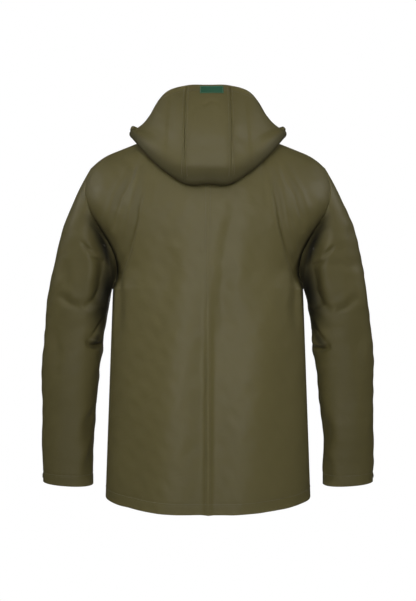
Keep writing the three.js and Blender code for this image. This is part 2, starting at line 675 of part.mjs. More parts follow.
function zipSlider() {
  const half = SLIDER_WIDTH / 2;
  const section = [
    [-half, plateFront], [half, plateFront], [half, TEETH[0] - RUN_GAP],
    [SLIDER_POST, TEETH[0] - RUN_GAP], [SLIDER_POST, TEETH[1] + RUN_GAP],
    [half, TEETH[1] + RUN_GAP], [half, plateBack], [-half, plateBack],
    [-half, TEETH[1] + RUN_GAP], [-SLIDER_POST, TEETH[1] + RUN_GAP],
    [-SLIDER_POST, TEETH[0] - RUN_GAP], [-half, TEETH[0] - RUN_GAP],
  ];
  const low = sliderRest - SLIDER_LENGTH / 2;
  const runner = prism(section, low, low + SLIDER_LENGTH);
  const [long, high] = ARCH.inside;
  const [z0, z1] = [sliderRest - long / 2, sliderRest + long / 2];
  const top = plateFront - high;
  const arch = prism([
    [z0 - ARCH.wall, plateFront + 0.3], [z0 - ARCH.wall, top - ARCH.wall],
    [z1 + ARCH.wall, top - ARCH.wall], [z1 + ARCH.wall, plateFront + 0.3],
    [z1, plateFront + 0.3], [z1, top], [z0, top], [z0, plateFront + 0.3],
  ], -ARCH.width / 2, ARCH.width / 2);
  arch.rotateY(-Math.PI / 2);
  add('zip_slider', fromSolid(solid(runner).add(solid(arch))), 'metal', zip);
}

// Flat tab that hangs from the slider's arch by its top bar.
function zipPuller() {
  const half = PULLER.wide / 2;
  const top = PULLER.bar / 2;
  const { long, chamfer: [cut, up] } = PULLER;
  const outline = [[-half, top], [half, top], [half, up - long], [half - cut, -long],
    [cut - half, -long], [-half, up - long]];
  const slot = PULLER.slotWide / 2;
  const hole = [[-slot, -top], [-slot, -top - PULLER.slot], [slot, -top - PULLER.slot], [slot, -top]];
  const geometry = prism(outline, -PULLER.thick / 2, PULLER.thick / 2, [hole]);
  geometry.rotateX(Math.PI / 2);
  geometry.translate(0, plateFront - ARCH.inside[1] / 2, sliderRest);
  add('zip_puller', geometry, 'metal', zip);
}

function zipBase() {
  const stack = [BOX_BASE, TEETH_ENDS[0] - TAPE_GAP];
  add('zip_bottom_box', box(-TEETH_WIDTH, TEETH_WIDTH, ...TEETH, ...stack), 'metal', zip);
  const { half: wide, depth, thick, foot, top } = PLACKET;
  const lining = FRONT_LINING_DEPTH + LINER + 0.9;
  const section = [[wide - foot, lining], [wide, lining], [wide, depth + thick], [-wide, depth + thick],
    [-wide, depth], [wide - foot, depth]];
  add('zip_placket', prism(section, FACING_HEIGHT + 5, ZIP_LENGTH - top), 'shell', zip);
}

// ---------------------------------------------------------------- pockets and snaps
const FLAP_LIFT = [0.5, 1.8]; // flap above the panel at its seam and below it
const FLAP_THICK = 1.5;
const FLAP_COLUMNS = 8;
const FLAP_ROWS = [0, 0.25, 0.6, 1]; // shares of the flap's height
const BAG = { gap: 0.3, thick: 1.4, inset: 4, above: 10 }; // pocket bag behind the front panel
const SNAP_ABOVE_EDGE = 14; // snap's centre above the flap's lower edge
const STUD_THICK = 1;
const STUD_RADIUS = SNAP_RADIUS - 1.5;
const SNAP_CLEAR = 0.4; // snap part above the cloth under it
const CAP_THICK = 2;
const CUFF_SNAP = { radius: 5.5, behind: 1.2 }; // cap, and the stud's gap behind the facing
const CAP_SIDES = 16;

// Group standing on a surface: its Z is the outward normal there.
function standOn(point, normal) {
  const group = new THREE.Group();
  group.position.copy(point);
  group.quaternion.setFromUnitVectors(new THREE.Vector3(0, 0, 1), normal);
  body.add(group);
  return group;
}

function snapCap(radius, base) {
  const profile = [[0, base], [radius, base], [radius, base + CAP_THICK * 0.5],
    [radius * 0.8, base + CAP_THICK * 0.9], [0, base + CAP_THICK]];
  const geometry = new THREE.LatheGeometry(profile.map(([x, y]) => new THREE.Vector2(x, y)), CAP_SIDES);
  geometry.rotateX(Math.PI / 2);
  return fromSolid(solid(geometry));
}

const snapStud = (radius, base) => {
  const geometry = new THREE.CylinderGeometry(radius, radius, STUD_THICK, CAP_SIDES);
  geometry.rotateX(Math.PI / 2);
  geometry.translate(0, 0, base + STUD_THICK / 2);
  return geometry;
};

function frontPatch(x0, x1, columns, heights, side, options) {
  const grid = spread(x0, x1, columns).map((x) => heights.map((z) => surfacePoint(FRONT, x, z)));
  return sheet(mirrored(grid, side), options);
}

function pocket(name, side) {
  const [x0, x1] = [POCKET_MIDDLE_X - POCKET_WIDTH / 2, POCKET_MIDDLE_X + POCKET_WIDTH / 2];
  const rows = FLAP_ROWS.map((share) => POCKET_TOP_Z - share * POCKET_FLAP_HEIGHT);
  const lift = (j) => FLAP_LIFT[Math.min(1, j)];
  const flap = { outer: (i, j) => lift(j) + FLAP_THICK, inner: (i, j) => lift(j) };
  add(`pocket_flap_${name}`, frontPatch(x0, x1, FLAP_COLUMNS, rows, side, flap), 'shell');
  const bag = ply(LINING_DEPTH + BAG.gap, BAG.thick);
  const depths = spread(POCKET_TOP_Z + BAG.above, POCKET_TOP_Z - POCKET_BAG_DEPTH, 3);
  const bagSheet = frontPatch(x0 + BAG.inset, x1 - BAG.inset, FLAP_COLUMNS, depths, side, bag);
  add(`pocket_bag_${name}`, bagSheet, 'liner');
  const snapZ = POCKET_TOP_Z - POCKET_FLAP_HEIGHT + SNAP_ABOVE_EDGE;
  const x = side * POCKET_MIDDLE_X;
  const point = surfacePoint(FRONT, x, snapZ);
  const seat = standOn(point, surfaceNormal(FRONT, point));
  add(`pocket_snap_cap_${name}`, snapCap(SNAP_RADIUS, FLAP_LIFT[1] + FLAP_THICK + 0.3), 'metal', seat);
  add(`pocket_snap_stud_${name}`, snapStud(STUD_RADIUS, SNAP_CLEAR), 'metal', seat);
}

function cuffSnap(name, side) {
  const t = 1 - FACING_SHARE / 2;
  const [point] = mirrored([[sleeveRing(t)[0]]], side)[0];
  const seat = standOn(point, new THREE.Vector3(side, 0, 0));
  add(`cuff_snap_cap_${name}`, snapCap(CUFF_SNAP.radius, SNAP_CLEAR), 'metal', seat);
  const inside = -LINING_DEPTH - LINER - CUFF_SNAP.behind - STUD_THICK;
  add(`cuff_snap_stud_${name}`, snapStud(STUD_RADIUS, inside), 'metal', seat);
}

// ---------------------------------------------------------------- hood eyelets and patch
const PATCH_ROWS = [0.88, 0.93, 0.98]; // shares of the hood's wall, up to its brim
const BRIM_STEP = 44.5; // length of brim between the first two stations
const EYELET = { hole: 2.5, rim: 5, thick: 0.8, place: 5.6, share: 0.5 };

function hoodWall(place, share) {
  const wall = hoodColumn(Math.abs(place)).slice(-RISE_ROWS - 1);
  const curve = new THREE.CatmullRomCurve3(wall);
  const point = curve.getPoint(share);
  return new THREE.Vector3(Math.sign(place || 1) * point.x, point.y, point.z);
}

function hoodNormal(place, share) {
  const across = hoodWall(place + 0.02, share).sub(hoodWall(place - 0.02, share));
  const up = hoodWall(place, share + 0.02).sub(hoodWall(place, share - 0.02));
  return across.cross(up).normalize().negate();
}

function eyelet(name, side) {
  const place = EYELET.place * side;
  const normal = hoodNormal(place, EYELET.share);
  const seat = standOn(hoodWall(place, EYELET.share), normal);
  const { hole, rim, thick } = EYELET;
  const ring = [[hole, 0.5], [rim, 0.5], [rim, 0.5 + thick], [hole, 0.5 + thick], [hole, 0.5]];
  const geometry = new THREE.LatheGeometry(ring.map(([x, y]) => new THREE.Vector2(x, y)), CAP_SIDES);
  geometry.rotateX(Math.PI / 2);
  add(`hood_eyelet_${name}`, fromSolid(solid(geometry)), 'metal', seat);
}

function hoodPatch() {
  const half = PATCH_WIDTH / 2;
  const places = spread(PATCH_MIDDLE_X - half, PATCH_MIDDLE_X + half, 6).map((x) => x / BRIM_STEP);
  const grid = places.map((place) => PATCH_ROWS.map((share) => hoodWall(place, share)));
  add('hood_patch', sheet(grid, { outer: 1.6, inner: 0.6, from: hoodHeart }), 'label');
}

// ---------------------------------------------------------------- hanging loop and neck label
const LOOP_Y = NECK_BACK_Y - 11.5; // middle of the loop's tape, inside the collar's lining
const LOOP_THICK = 1.5;

function hangingLoop() {
  const half = LOOP_WIDTH / 2;
  const points = [
    [-half, LOOP_Z], [half, LOOP_Z], [half, LOOP_Z - LOOP_HEIGHT],
    [half + LOOP_THICK, LOOP_Z - LOOP_HEIGHT], [half + LOOP_THICK, LOOP_Z + LOOP_THICK],
    [-half - LOOP_THICK, LOOP_Z + LOOP_THICK], [-half - LOOP_THICK, LOOP_Z - LOOP_HEIGHT],
    [-half, LOOP_Z - LOOP_HEIGHT],
  ];
  const geometry = prism(points, -LOOP_TAPE / 2, LOOP_TAPE / 2);
  geometry.rotateX(Math.PI / 2);
  geometry.translate(0, LOOP_Y, 0);
  add('hanging_loop', geometry, 'shell');
}

const NECK_LABEL = { half: 20, rises: [26, 44], thick: 0.6, gap: 0.5 };

function neckLabel() {
  const { half, rises, thick, gap } = NECK_LABEL;
  const grid = spread(-half, half, 6).map((x) => rises.map((rise) => {
    const angle = Math.asin(x / NECK_X);
    const scale = 1 - (COLLAR_TAPER * rise) / COLLAR_HEIGHT;
    const y = NECK_BACK_Y * Math.cos(angle) * scale;
    return new THREE.Vector3(x * scale, y, neckZ(BACK, Math.abs(x)) + rise);
  }));
  const depth = COLLAR_INSET + SHELL + PLY_GAP + LINER + gap;
  add('neck_label', sheet(grid, { ...ply(depth, thick), lock: () => ['z'] }), 'label');
}

for (const [name, side] of [['left', 1], ['right', -1]]) {
  bodyPanels(name, side);
  sleeve(name, side);
  zipHalf(name, side);
  pocket(name, side);
  cuffSnap(name, side);
  eyelet(name, side);
}
hood();
collar();
zipSlider();
zipPuller();
zipBase();
hoodPatch();
hangingLoop();
neckLabel();

body.position.set(0, -LOOP_Y, -LOOP_Z);

export default jacket;
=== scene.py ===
import math

import bmesh
import bpy
import numpy as np
from bpy.props import FloatProperty, FloatVectorProperty, IntProperty, PointerProperty
from mathutils import Matrix, Vector


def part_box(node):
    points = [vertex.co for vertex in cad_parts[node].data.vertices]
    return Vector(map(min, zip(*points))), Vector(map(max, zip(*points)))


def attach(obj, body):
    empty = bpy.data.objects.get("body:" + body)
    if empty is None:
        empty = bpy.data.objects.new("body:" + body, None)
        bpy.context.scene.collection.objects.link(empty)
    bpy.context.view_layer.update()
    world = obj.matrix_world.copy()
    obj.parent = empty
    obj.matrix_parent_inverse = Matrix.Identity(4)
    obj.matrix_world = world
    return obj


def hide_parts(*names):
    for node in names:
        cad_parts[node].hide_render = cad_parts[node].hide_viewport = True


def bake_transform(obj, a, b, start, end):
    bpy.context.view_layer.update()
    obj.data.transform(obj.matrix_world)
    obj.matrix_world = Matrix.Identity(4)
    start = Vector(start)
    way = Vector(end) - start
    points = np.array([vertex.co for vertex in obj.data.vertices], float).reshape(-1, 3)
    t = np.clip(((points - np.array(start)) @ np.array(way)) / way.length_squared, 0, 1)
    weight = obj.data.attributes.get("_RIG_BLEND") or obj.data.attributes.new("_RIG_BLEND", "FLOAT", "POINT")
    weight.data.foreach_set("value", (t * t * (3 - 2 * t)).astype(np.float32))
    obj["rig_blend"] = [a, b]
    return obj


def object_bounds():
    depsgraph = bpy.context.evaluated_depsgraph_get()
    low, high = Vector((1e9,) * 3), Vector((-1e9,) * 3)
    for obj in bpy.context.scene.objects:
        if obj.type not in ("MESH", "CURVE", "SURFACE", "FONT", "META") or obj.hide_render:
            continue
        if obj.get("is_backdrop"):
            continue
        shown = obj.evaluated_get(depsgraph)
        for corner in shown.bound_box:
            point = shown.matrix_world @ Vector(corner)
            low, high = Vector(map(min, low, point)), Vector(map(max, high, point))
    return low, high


bl_info = {
    "name": "Hooded Rain Jacket",
    "version": (1, 0, 0),
    "blender": (4, 5, 0),
    "location": "View3D > Sidebar > Jacket",
    "description": "Cloth, zip, snaps and stitching of a hooded rain jacket around its packed frame",
    "category": "Object",
}

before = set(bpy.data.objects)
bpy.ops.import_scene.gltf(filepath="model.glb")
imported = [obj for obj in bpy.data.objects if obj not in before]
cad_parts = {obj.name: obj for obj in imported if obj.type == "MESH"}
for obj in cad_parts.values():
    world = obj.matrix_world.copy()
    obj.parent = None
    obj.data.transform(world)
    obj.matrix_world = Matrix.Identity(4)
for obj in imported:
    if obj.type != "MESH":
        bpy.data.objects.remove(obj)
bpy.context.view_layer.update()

# ------------------------------------------------------------------ pattern sizes
# Millimetres on the body's axis at nape height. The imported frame's origin is the hanging loop.
BACK = 1
FRONT = -1
SIDES = (("left", 1), ("right", -1))
LOOP_PLACE = np.array([0.0, 56.5, 14.0])

ARMPIT = (204.0, -311.0)
HEM = (219.5, -750.0)
BACK_DROP = 12.0
BACK_DEPTHS = (140.0, 150.0)
FRONT_DEPTH_HEM = 150.0
SECTION_POWER = 2.3
NECK_X = 86.0
NECK_BACK_Y = 68.0
NECK_FRONT_Y = 97.0
NECK_FRONT_Z = -70.0
NECK_FRONT_POWER = 2.6
SHOULDER_TOP_Z = 26.0
SHOULDER_SLOPE = 0.39
SHOULDER_BEND_X = 205.0
SHOULDER_BEND = 0.0065
SHOULDER_TIP_X = 250.0
ARMHOLE_DIP = 24.0
ARMHOLE_WAVE = 18.0
ARMHOLE_WAVE_POWER = 0.92
ARMHOLE_ROUND = 0.07
ARMHOLE_ROUND_SHARE = 0.45
BACK_ROLL_Z = -200.0
FRONT_ROLL_X = 110.0
CUFF_OUTER = (361.0, -730.0)
CUFF_INNER = (252.0, -738.0)
CUFF_Y = -40.0
SLEEVE_DEPTHS = (64.0, 46.0)
SLEEVE_POWER = 2.2
COLLAR_HEIGHT = 55.0
COLLAR_TAPER = 0.04
FACING_HEIGHT = 21.0
ZIP_EDGE_X = 8.0
POCKET_MIDDLE_X = 112.0
POCKET_WIDTH = 120.0
POCKET_TOP_Z = -560.0
POCKET_FLAP_HEIGHT = 56.0
POCKET_BAG_DEPTH = 130.0
SEAM_HALF = 0.3
STITCH_LIFT = 0.2
FLAP_STITCH_INSET = 4.0
TEETH_X = 3.4
TOOTH_WIDTH = 0.0036
TOOTH_DEPTH = 0.003
ZIP_RAKE = (FRONT_DEPTH_HEM - NECK_FRONT_Y) / (NECK_FRONT_Z - HEM[1])
ZIP_LENGTH = (NECK_FRONT_Z + COLLAR_HEIGHT - HEM[1]) * math.hypot(1, ZIP_RAKE)


def to_frame(points):
    """Millimetres on the body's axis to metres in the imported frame."""
    return (np.asarray(points, float) - LOOP_PLACE) / 1000.0


def lerp(a, b, t):
    return a + (b - a) * t


def smooth(t):
    t = np.clip(t, 0.0, 1.0)
    return t * t * (3.0 - 2.0 * t)


def round_off(share, power):
    return np.maximum(0.0, 1.0 - np.abs(share) ** power) ** (1.0 / power)


def bump(distance, width):
    return np.exp(-((distance / width) ** 2))


# ------------------------------------------------------------------ body surface
def shoulder_z(x):
    past = np.maximum(0.0, x - SHOULDER_BEND_X)
    return SHOULDER_TOP_Z - SHOULDER_SLOPE * np.maximum(0.0, x - NECK_X) - SHOULDER_BEND * past * past


SHOULDER_TIP_Z = float(shoulder_z(SHOULDER_TIP_X))


def armhole_share(z):
    return np.clip((z - ARMPIT[1]) / (SHOULDER_TIP_Z - ARMPIT[1]), 0.0, 1.0)


def edge_x(z):
    share = armhole_share(z)
    wave = ARMHOLE_WAVE * np.sin(2 * np.pi * share ** ARMHOLE_WAVE_POWER)
    below = lerp(ARMPIT[0], HEM[0], (ARMPIT[1] - z) / (ARMPIT[1] - HEM[1]))
    return np.where(z <= ARMPIT[1], below, lerp(ARMPIT[0], SHOULDER_TIP_X, share) - wave)


def virtual_x(z):
    return edge_x(z) * (1 + ARMHOLE_ROUND * smooth(armhole_share(z) / ARMHOLE_ROUND_SHARE))


def depth_at(face, z):
    if face == FRONT:
        return NECK_FRONT_Y + (NECK_FRONT_Z - z) * ZIP_RAKE
    share = np.clip((BACK_ROLL_Z - z) / (BACK_ROLL_Z - HEM[1]), 0.0, 1.1)
    return lerp(BACK_DEPTHS[0], BACK_DEPTHS[1], share)


def roll_share(face, x, z):
    start = BACK_ROLL_Z if face == BACK else lerp(NECK_FRONT_Z - 5, BACK_ROLL_Z, smooth(x / FRONT_ROLL_X))
    return np.clip((z - start) / (shoulder_z(x) - start), 0.0, 1.0)


def surface_y(face, x, z):
    share = roll_share(face, x, z)
    flat = depth_at(face, z) * round_off(x / virtual_x(z), SECTION_POWER)
    return face * flat * np.sqrt(1 - share * share)


def neck_y(face, x):
    if face == BACK:
        return NECK_BACK_Y * np.sqrt(np.maximum(0.0, 1 - (x / NECK_X) ** 2))
    return -NECK_FRONT_Y * round_off(x / NECK_X, NECK_FRONT_POWER)


def bisect(inside, shape):
    low, high = np.full(shape, -150.0), np.full(shape, 60.0)
    for _ in range(36):
        middle = (low + high) / 2
        keep = inside(middle)
        low, high = np.where(keep, middle, low), np.where(keep, high, middle)
    return (low + high) / 2


def top_z(face, q):
    def inside(z):
        x = q * edge_x(z)
        out = np.abs(surface_y(face, x, z)) > np.abs(neck_y(face, x))
        return (z < shoulder_z(x)) & ((x >= NECK_X) | out)
    return bisect(inside, np.shape(q))


def neck_z(face, x):
    def inside(z):
        return (z < shoulder_z(x)) & (np.abs(surface_y(face, x, z)) > np.abs(neck_y(face, x)))
    return bisect(inside, np.shape(x))


def surface_normal(face, x, y, z):
    """Outward unit normal of the body's surface, for x of either sign."""
    side = np.where(x < 0, -1.0, 1.0)
    x = np.abs(x)
    e = 0.01

    def level(x, y, z):
        share = roll_share(face, x, z)
        flat = np.maximum(depth_at(face, z) * round_off(x / virtual_x(z), SECTION_POWER), 0.01)
        return (y / flat) ** 2 + share * share

    normal = np.stack([
        side * (level(x, y, z) - level(x - e, y, z)),
        level(x, y + e / 2, z) - level(x, y - e / 2, z),
        level(x, y, z) - level(x, y, z - e),
    ], -1)
    return normal / np.maximum(np.linalg.norm(normal, axis=-1, keepdims=True), 1e-9)


def hem_z(face, q):
    return HEM[1] - (BACK_DROP * (1 - q * q) if face == BACK else 0.0)


def body_point(face, q, v, centre_x):
    """Point of the body's cloth: q from the centre (0) to the side (1), v 0 hem, 1 armpit, 2 top."""
    q, v = np.broadcast_arrays(np.asarray(q, float), np.asarray(v, float))
    high = top_z(face, q[:, :1])
    above = (1 - np.cos(np.pi * np.clip(v - 1, 0, 1))) / 2
    z = np.where(v < 1, lerp(hem_z(face, q), ARMPIT[1], v), lerp(ARMPIT[1], high, above))
    x = np.maximum(q * edge_x(z), centre_x)
    y = surface_y(face, x, z)
    return np.stack([x, face * np.maximum(np.abs(y), SEAM_HALF), z], -1)


# ------------------------------------------------------------------ sleeve surface
def armhole_loop(angle):
    share = (1 + np.cos(angle)) / 2
    z = lerp(ARMPIT[1], SHOULDER_TIP_Z, share)
    x = edge_x(z)
    y = np.where(np.sin(angle) >= 0, surface_y(BACK, x, z), surface_y(FRONT, x, z))
    return np.stack([x, y, z], -1)


def sleeve_rail(t):
    outer = np.stack([lerp(SHOULDER_TIP_X, CUFF_OUTER[0], 1 - np.maximum(0, 1 - t) ** 3.8),
                      lerp(SHOULDER_TIP_Z, CUFF_OUTER[1], t)], -1)
    drop = np.maximum(t, 0) ** 1.8
    start = ARMPIT[0] + 3 * smooth(t / 0.04)
    inner = np.stack([lerp(start, CUFF_INNER[0], 1 - np.maximum(0, 1 - drop) ** 2.1),
                      lerp(ARMPIT[1], CUFF_INNER[1], drop)], -1)
    return outer, inner


def plain_ring(angle, t):
    outer, inner = sleeve_rail(t)
    c, s = np.cos(angle), np.sin(angle)
    c = np.sign(c) * np.abs(c) ** (2 / SLEEVE_POWER)
    s = np.sign(s) * np.abs(s) ** (2 / SLEEVE_POWER)
    middle, half = (outer + inner) / 2, (outer - inner) / 2
    return np.stack([middle[..., 0] + c * half[..., 0],
                     CUFF_Y * t + s * lerp(SLEEVE_DEPTHS[0], SLEEVE_DEPTHS[1], t),
                     middle[..., 1] + c * half[..., 1]], -1)


def sleeve_point(angle, t):
    """Point of the left sleeve: angle 0 outer edge, quarter turn back, half turn inner edge."""
    angle, t = np.broadcast_arrays(np.asarray(angle, float), np.asarray(t, float))
    fade = (1 - smooth(t / 0.3))[..., None]
    shift = armhole_loop(angle) - plain_ring(angle, np.zeros_like(t))
    return plain_ring(angle, t) + shift * fade


# ------------------------------------------------------------------ hood surface
# From the centre back to the front: share of the neckline, foot x and z, lift at the seam and
# at rest, radius of the turned edge, and the free brim.
HOOD_STATIONS = np.array([
    (0.00, 0, -97, 1, 4, 12, 0, 82, 108),
    (0.17, 45, -97, 1, 4, 12, 44, 81, 107),
    (0.34, 98, -60, 1, 5, 10, 89, 66, 95),
    (0.48, 140, -14, 3, 10, 9, 122, 24, 58),
    (0.56, 150, 0, 9, 13, 8, 133, -16, 24),
    (0.73, 112, -22, 9, 12, 8, 112, -64, -2),
    (0.90, 74, -56, 4, 7, 7, 70, -98, -20),
], float)
LAST_STATION = len(HOOD_STATIONS) - 1
SHOULDER_STATION = 4
# Hood rows: below FOLD is the sole, up to RISE the fold, past it the rising wall.
FOLD, RISE = 1.0, 2.0


def station(place):
    """Smooth row of station values at fractional places, shaped (..., 9)."""
    rows = np.vstack([2 * HOOD_STATIONS[0] - HOOD_STATIONS[1], HOOD_STATIONS,
                      2 * HOOD_STATIONS[-1] - HOOD_STATIONS[-2]])
    i = np.clip(np.floor(place), 0, LAST_STATION - 1).astype(int)
    t = (place - i)[..., None]
    a, b, c, d = (rows[i + k] for k in range(4))
    h = (2 * t ** 3 - 3 * t ** 2 + 1) * b + (t ** 3 - 2 * t ** 2 + t) * (c - a) / 2
    return h + (-2 * t ** 3 + 3 * t ** 2) * c + (t ** 3 - t ** 2) * (d - b) / 2


def unit(v):
    return v / np.maximum(np.linalg.norm(v, axis=-1, keepdims=True), 1e-9)


def on_body(face, x, z, lift):
    """Points lifted off the back where face is 1 and off the front where it is -1."""
    out = np.zeros(np.shape(x) + (3,))
    for side in (BACK, FRONT):
        y = surface_y(side, np.abs(x), z)
        normal = surface_normal(side, x, y, z)
        point = np.stack([x, y, z], -1) + normal * lift[..., None]
        out = np.where((face == side)[..., None], point, out)
    return out


def hood_point(place, row):
    """Point of the hood: place 0 centre back to 6 front, row 0..1 sole, 1..2 fold, 2..3 rise."""
    place, row = np.broadcast_arrays(np.asarray(place, float), np.asarray(row, float))
    sign = np.where(place < 0, -1.0, 1.0)
    at = station(np.abs(place))
    face = np.where(np.abs(place) < SHOULDER_STATION, BACK, FRONT)
    angle = at[..., 0] * np.pi
    neck_face = np.where(at[..., 0] <= 0.5, BACK, FRONT)
    neck_x = NECK_X * np.sin(angle)
    neck_top = np.where(neck_face == BACK, neck_z(BACK, neck_x), neck_z(FRONT, neck_x))
    shoulder_top = float(shoulder_z(NECK_X)) - 0.5
    start_x = np.where(neck_face == face, neck_x, NECK_X)
    start_z = np.where(neck_face == face, neck_top, shoulder_top)
    foot_x = at[..., 1]
    foot_z = np.minimum(at[..., 2], shoulder_z(foot_x) - 0.5)

    def sole(share):
        x = lerp(start_x, foot_x, share)
        z = np.minimum(lerp(start_z, foot_z, share), shoulder_z(x) - 0.5)
        return on_body(face, x, z, lerp(at[..., 3], at[..., 4], smooth(share / 0.35)))

    foot = sole(np.ones_like(row))
    bare = on_body(face, foot_x, foot_z, np.zeros_like(row))
    normal = unit(on_body(face, foot_x, foot_z, np.ones_like(row)) - bare)
    out = unit(foot - sole(np.full_like(row, 0.76)))
    out = unit(out - normal * np.sum(out * normal, -1, keepdims=True))
    radius = at[..., 5][..., None]
    centre = foot + normal * radius

    def fold(share):
        turn = (share * np.pi * 0.9)[..., None]
        return centre - normal * radius * np.cos(turn) + out * radius * np.sin(turn)

    start = fold(np.ones_like(row))
    brim = at[..., 6:9]
    reach = np.linalg.norm(brim - start, axis=-1, keepdims=True)
    leave = start - out * 0.12 * reach + normal * 0.16 * reach
    leave[..., 2:] += 0.2 * reach
    arrive = lerp(brim, start, 0.35) + normal * 0.16 * reach
    s = np.clip(row - RISE, 0, 1)[..., None]
    rise = ((1 - s) ** 3 * start + 3 * (1 - s) ** 2 * s * leave
            + 3 * (1 - s) * s * s * arrive + s ** 3 * brim)
    point = np.where((row < FOLD)[..., None], sole(lerp(0.04, 1.0, np.clip(row, 0, 1))),
                     np.where((row < RISE)[..., None], fold(np.clip(row - FOLD, 0, 1)), rise))
    point[..., 0] *= sign
    return point


# ------------------------------------------------------------------ folds in the cloth
def path_distance(x, z, path):
    """Signed distance from a drawn line and the share of the way along it, for each point."""
    path = np.asarray(path, float)
    best = np.full(np.shape(x), 1e9)
    signed = np.zeros(np.shape(x))
    share = np.zeros(np.shape(x))
    lengths = np.linalg.norm(np.diff(path, axis=0), axis=1)
    total = lengths.sum()
    run = 0.0
    for (ax, az), (bx, bz), length in zip(path[:-1], path[1:], lengths):
        ux, uz = (bx - ax) / length, (bz - az) / length
        s = np.clip((x - ax) * ux + (z - az) * uz, 0, length)
        dx, dz = x - ax - ux * s, z - az - uz * s
        distance = np.hypot(dx, dz)
        near = distance < best
        best = np.where(near, distance, best)
        signed = np.where(near, np.where(ux * dz - uz * dx < 0, -distance, distance), signed)
        share = np.where(near, (run + s) / total, share)
        run += length
    return signed, share


def crease(x, z, path, width, depth, ridge=0.0, lean=1.0):
    """Valley along a line, with a ridge beside it on the left of its direction."""
    signed, share = path_distance(x, z, path)
    ends = np.sin(np.pi * np.clip(share, 0.0, 1.0)) ** 0.6
    inside = np.where(signed * lean > 0, width * 1.8, width)
    valley = -depth * bump(signed, inside)
    crest = ridge * bump(signed * lean - 2.0 * width, 1.6 * width)
    return (valley + crest) * ends


def waves(x, z, seed, scale):
    """Smooth, repeatable unevenness between about -1 and 1."""
    rng = np.random.default_rng(seed)
    total = np.zeros(np.shape(x))
    for _ in range(7):
        angle = rng.uniform(0, np.pi)
        length = scale * rng.uniform(0.6, 1.7)
        phase = rng.uniform(0, 2 * np.pi)
        total = total + np.sin((x * np.cos(angle) + z * np.sin(angle)) * 2 * np.pi / length + phase)
    return total / 4.0


def puckers(along, across, seed, pitch, reach):
    """Short gathers across a stitched line, strongest on the line and uneven along it."""
    rng = np.random.default_rng(seed)
    strength = 0.55 + 0.45 * np.sin(along / 41.0 + rng.uniform(0, 6)) * np.sin(along / 17.0 + 1.3)
    beat = np.sin(2 * np.pi * along / pitch + 1.8 * np.sin(along / 23.0) + rng.uniform(0, 6))
    return beat * strength * bump(across, reach)


# Lines of the folds on one half of the back, in millimetres; x counts away from the centre.
SHOULDER_FOLD = [(128, -62), (134, -113), (141, -148), (148, -184), (164, -239), (180, -277), (193, -308)]
BLADE_FOLD = [(146, -56), (162, -93), (179, -122), (190, -160), (197, -196)]
SIDE_FOLD = [(196, -250), (186, -300), (182, -350), (188, -420)]


def back_folds(x, z, side):
    """Height of the back's cloth above its plain surface; x is positive, side says which half."""
    u = x * side
    strong, soft = (1.0, 0.85) if side < 0 else (0.85, 1.0)
    total = crease(x, z, SHOULDER_FOLD, 6.5, 4.2 * strong, 2.6, 1.0)
    total += crease(x, z, BLADE_FOLD, 6.0, 3.0 * soft, 2.2, 1.0)
    total += crease(x, z, SIDE_FOLD, 9.0, 2.4, 1.2, -1.0)
    total += crease(x, z, [(108, -40), (118, -90), (121, -150)], 8.0, 1.6, 1.0)
    low = smooth((-240 - z) / 200)
    drape = np.sin(u / 23.0 + 0.9 + z / 260.0) * 1.5 + np.sin(u / 37.0 - 1.1) * 1.9
    total += low * drape * smooth((205 - x) / 60)
    if side < 0:
        total += crease(x, z, [(58, -110), (44, -190), (32, -260), (28, -330), (34, -420)], 15, 3.0, 1.4)
    else:
        total += crease(x, z, [(70, -230), (80, -300), (84, -360)], 18, 1.6, 0.8)
    total += 1.1 * waves(u, z * 0.5, 11, 120) + 0.35 * waves(u, z, 12, 42)
    seam = bump(x, 2.2) * 0.9 - bump(x - 5.2, 1.6) * 0.55
    gather = puckers(z, x, 21 if side > 0 else 22, 7.5, 15) * (0.42 if side > 0 else 0.3)
    gather *= 0.35 + smooth((-170 - z) / 120)
    stitch = -0.6 * bump(z - hem_z(BACK, x / HEM[0]) - FACING_HEIGHT, 1.6)
    hem_gather = 0.28 * puckers(u, z - hem_z(BACK, x / HEM[0]) - FACING_HEIGHT, 23, 9, 7)
    return 1.9 * total * smooth(x / 14) + seam + gather + stitch + hem_gather


def front_folds(x, z, side):
    u = x * side
    total = crease(x, z, [(120, -30), (140, -90), (158, -150), (178, -210), (192, -262)], 8, 3.4, 2.2)
    total += crease(x, z, [(95, -70), (104, -140), (112, -220)], 10, 2.2, 1.4)
    total += crease(x, z, [(196, -300), (170, -360), (150, -410)], 12, 2.6, 1.6, -1.0)
    low = smooth((-260 - z) / 180)
    total += low * np.sin(u / 26.0 + z / 300.0 + side) * 1.6 * smooth((205 - x) / 60)
    total += 1.0 * waves(u, z * 0.5, 14, 130) + 0.3 * waves(u, z, 15, 45)
    near_pocket = smooth((abs(x - POCKET_MIDDLE_X) - POCKET_WIDTH / 2 - 2) / 18)
    above_pocket = smooth((z - POCKET_TOP_Z - 4) / 14)
    below_pocket = smooth((POCKET_TOP_Z - POCKET_FLAP_HEIGHT - 6 - z) / 14)
    total *= np.maximum(near_pocket, np.maximum(above_pocket, below_pocket))
    total *= smooth((x - 16) / 20)
    stitch = -0.6 * bump(z - HEM[1] - FACING_HEIGHT, 1.6)
    gather = 0.26 * puckers(z, x - ZIP_EDGE_X - 6, 24, 8, 7)
    return total + stitch + gather + 0.28 * puckers(u, z - HEM[1] - FACING_HEIGHT, 25, 9, 7)


def armhole_dip(z):
    """How far the armhole seam sinks between the bulging back and the sleeve."""
    return ARMHOLE_DIP * smooth((-130 - z) / 80) * (1 - 0.5 * smooth((-270 - z) / 50))


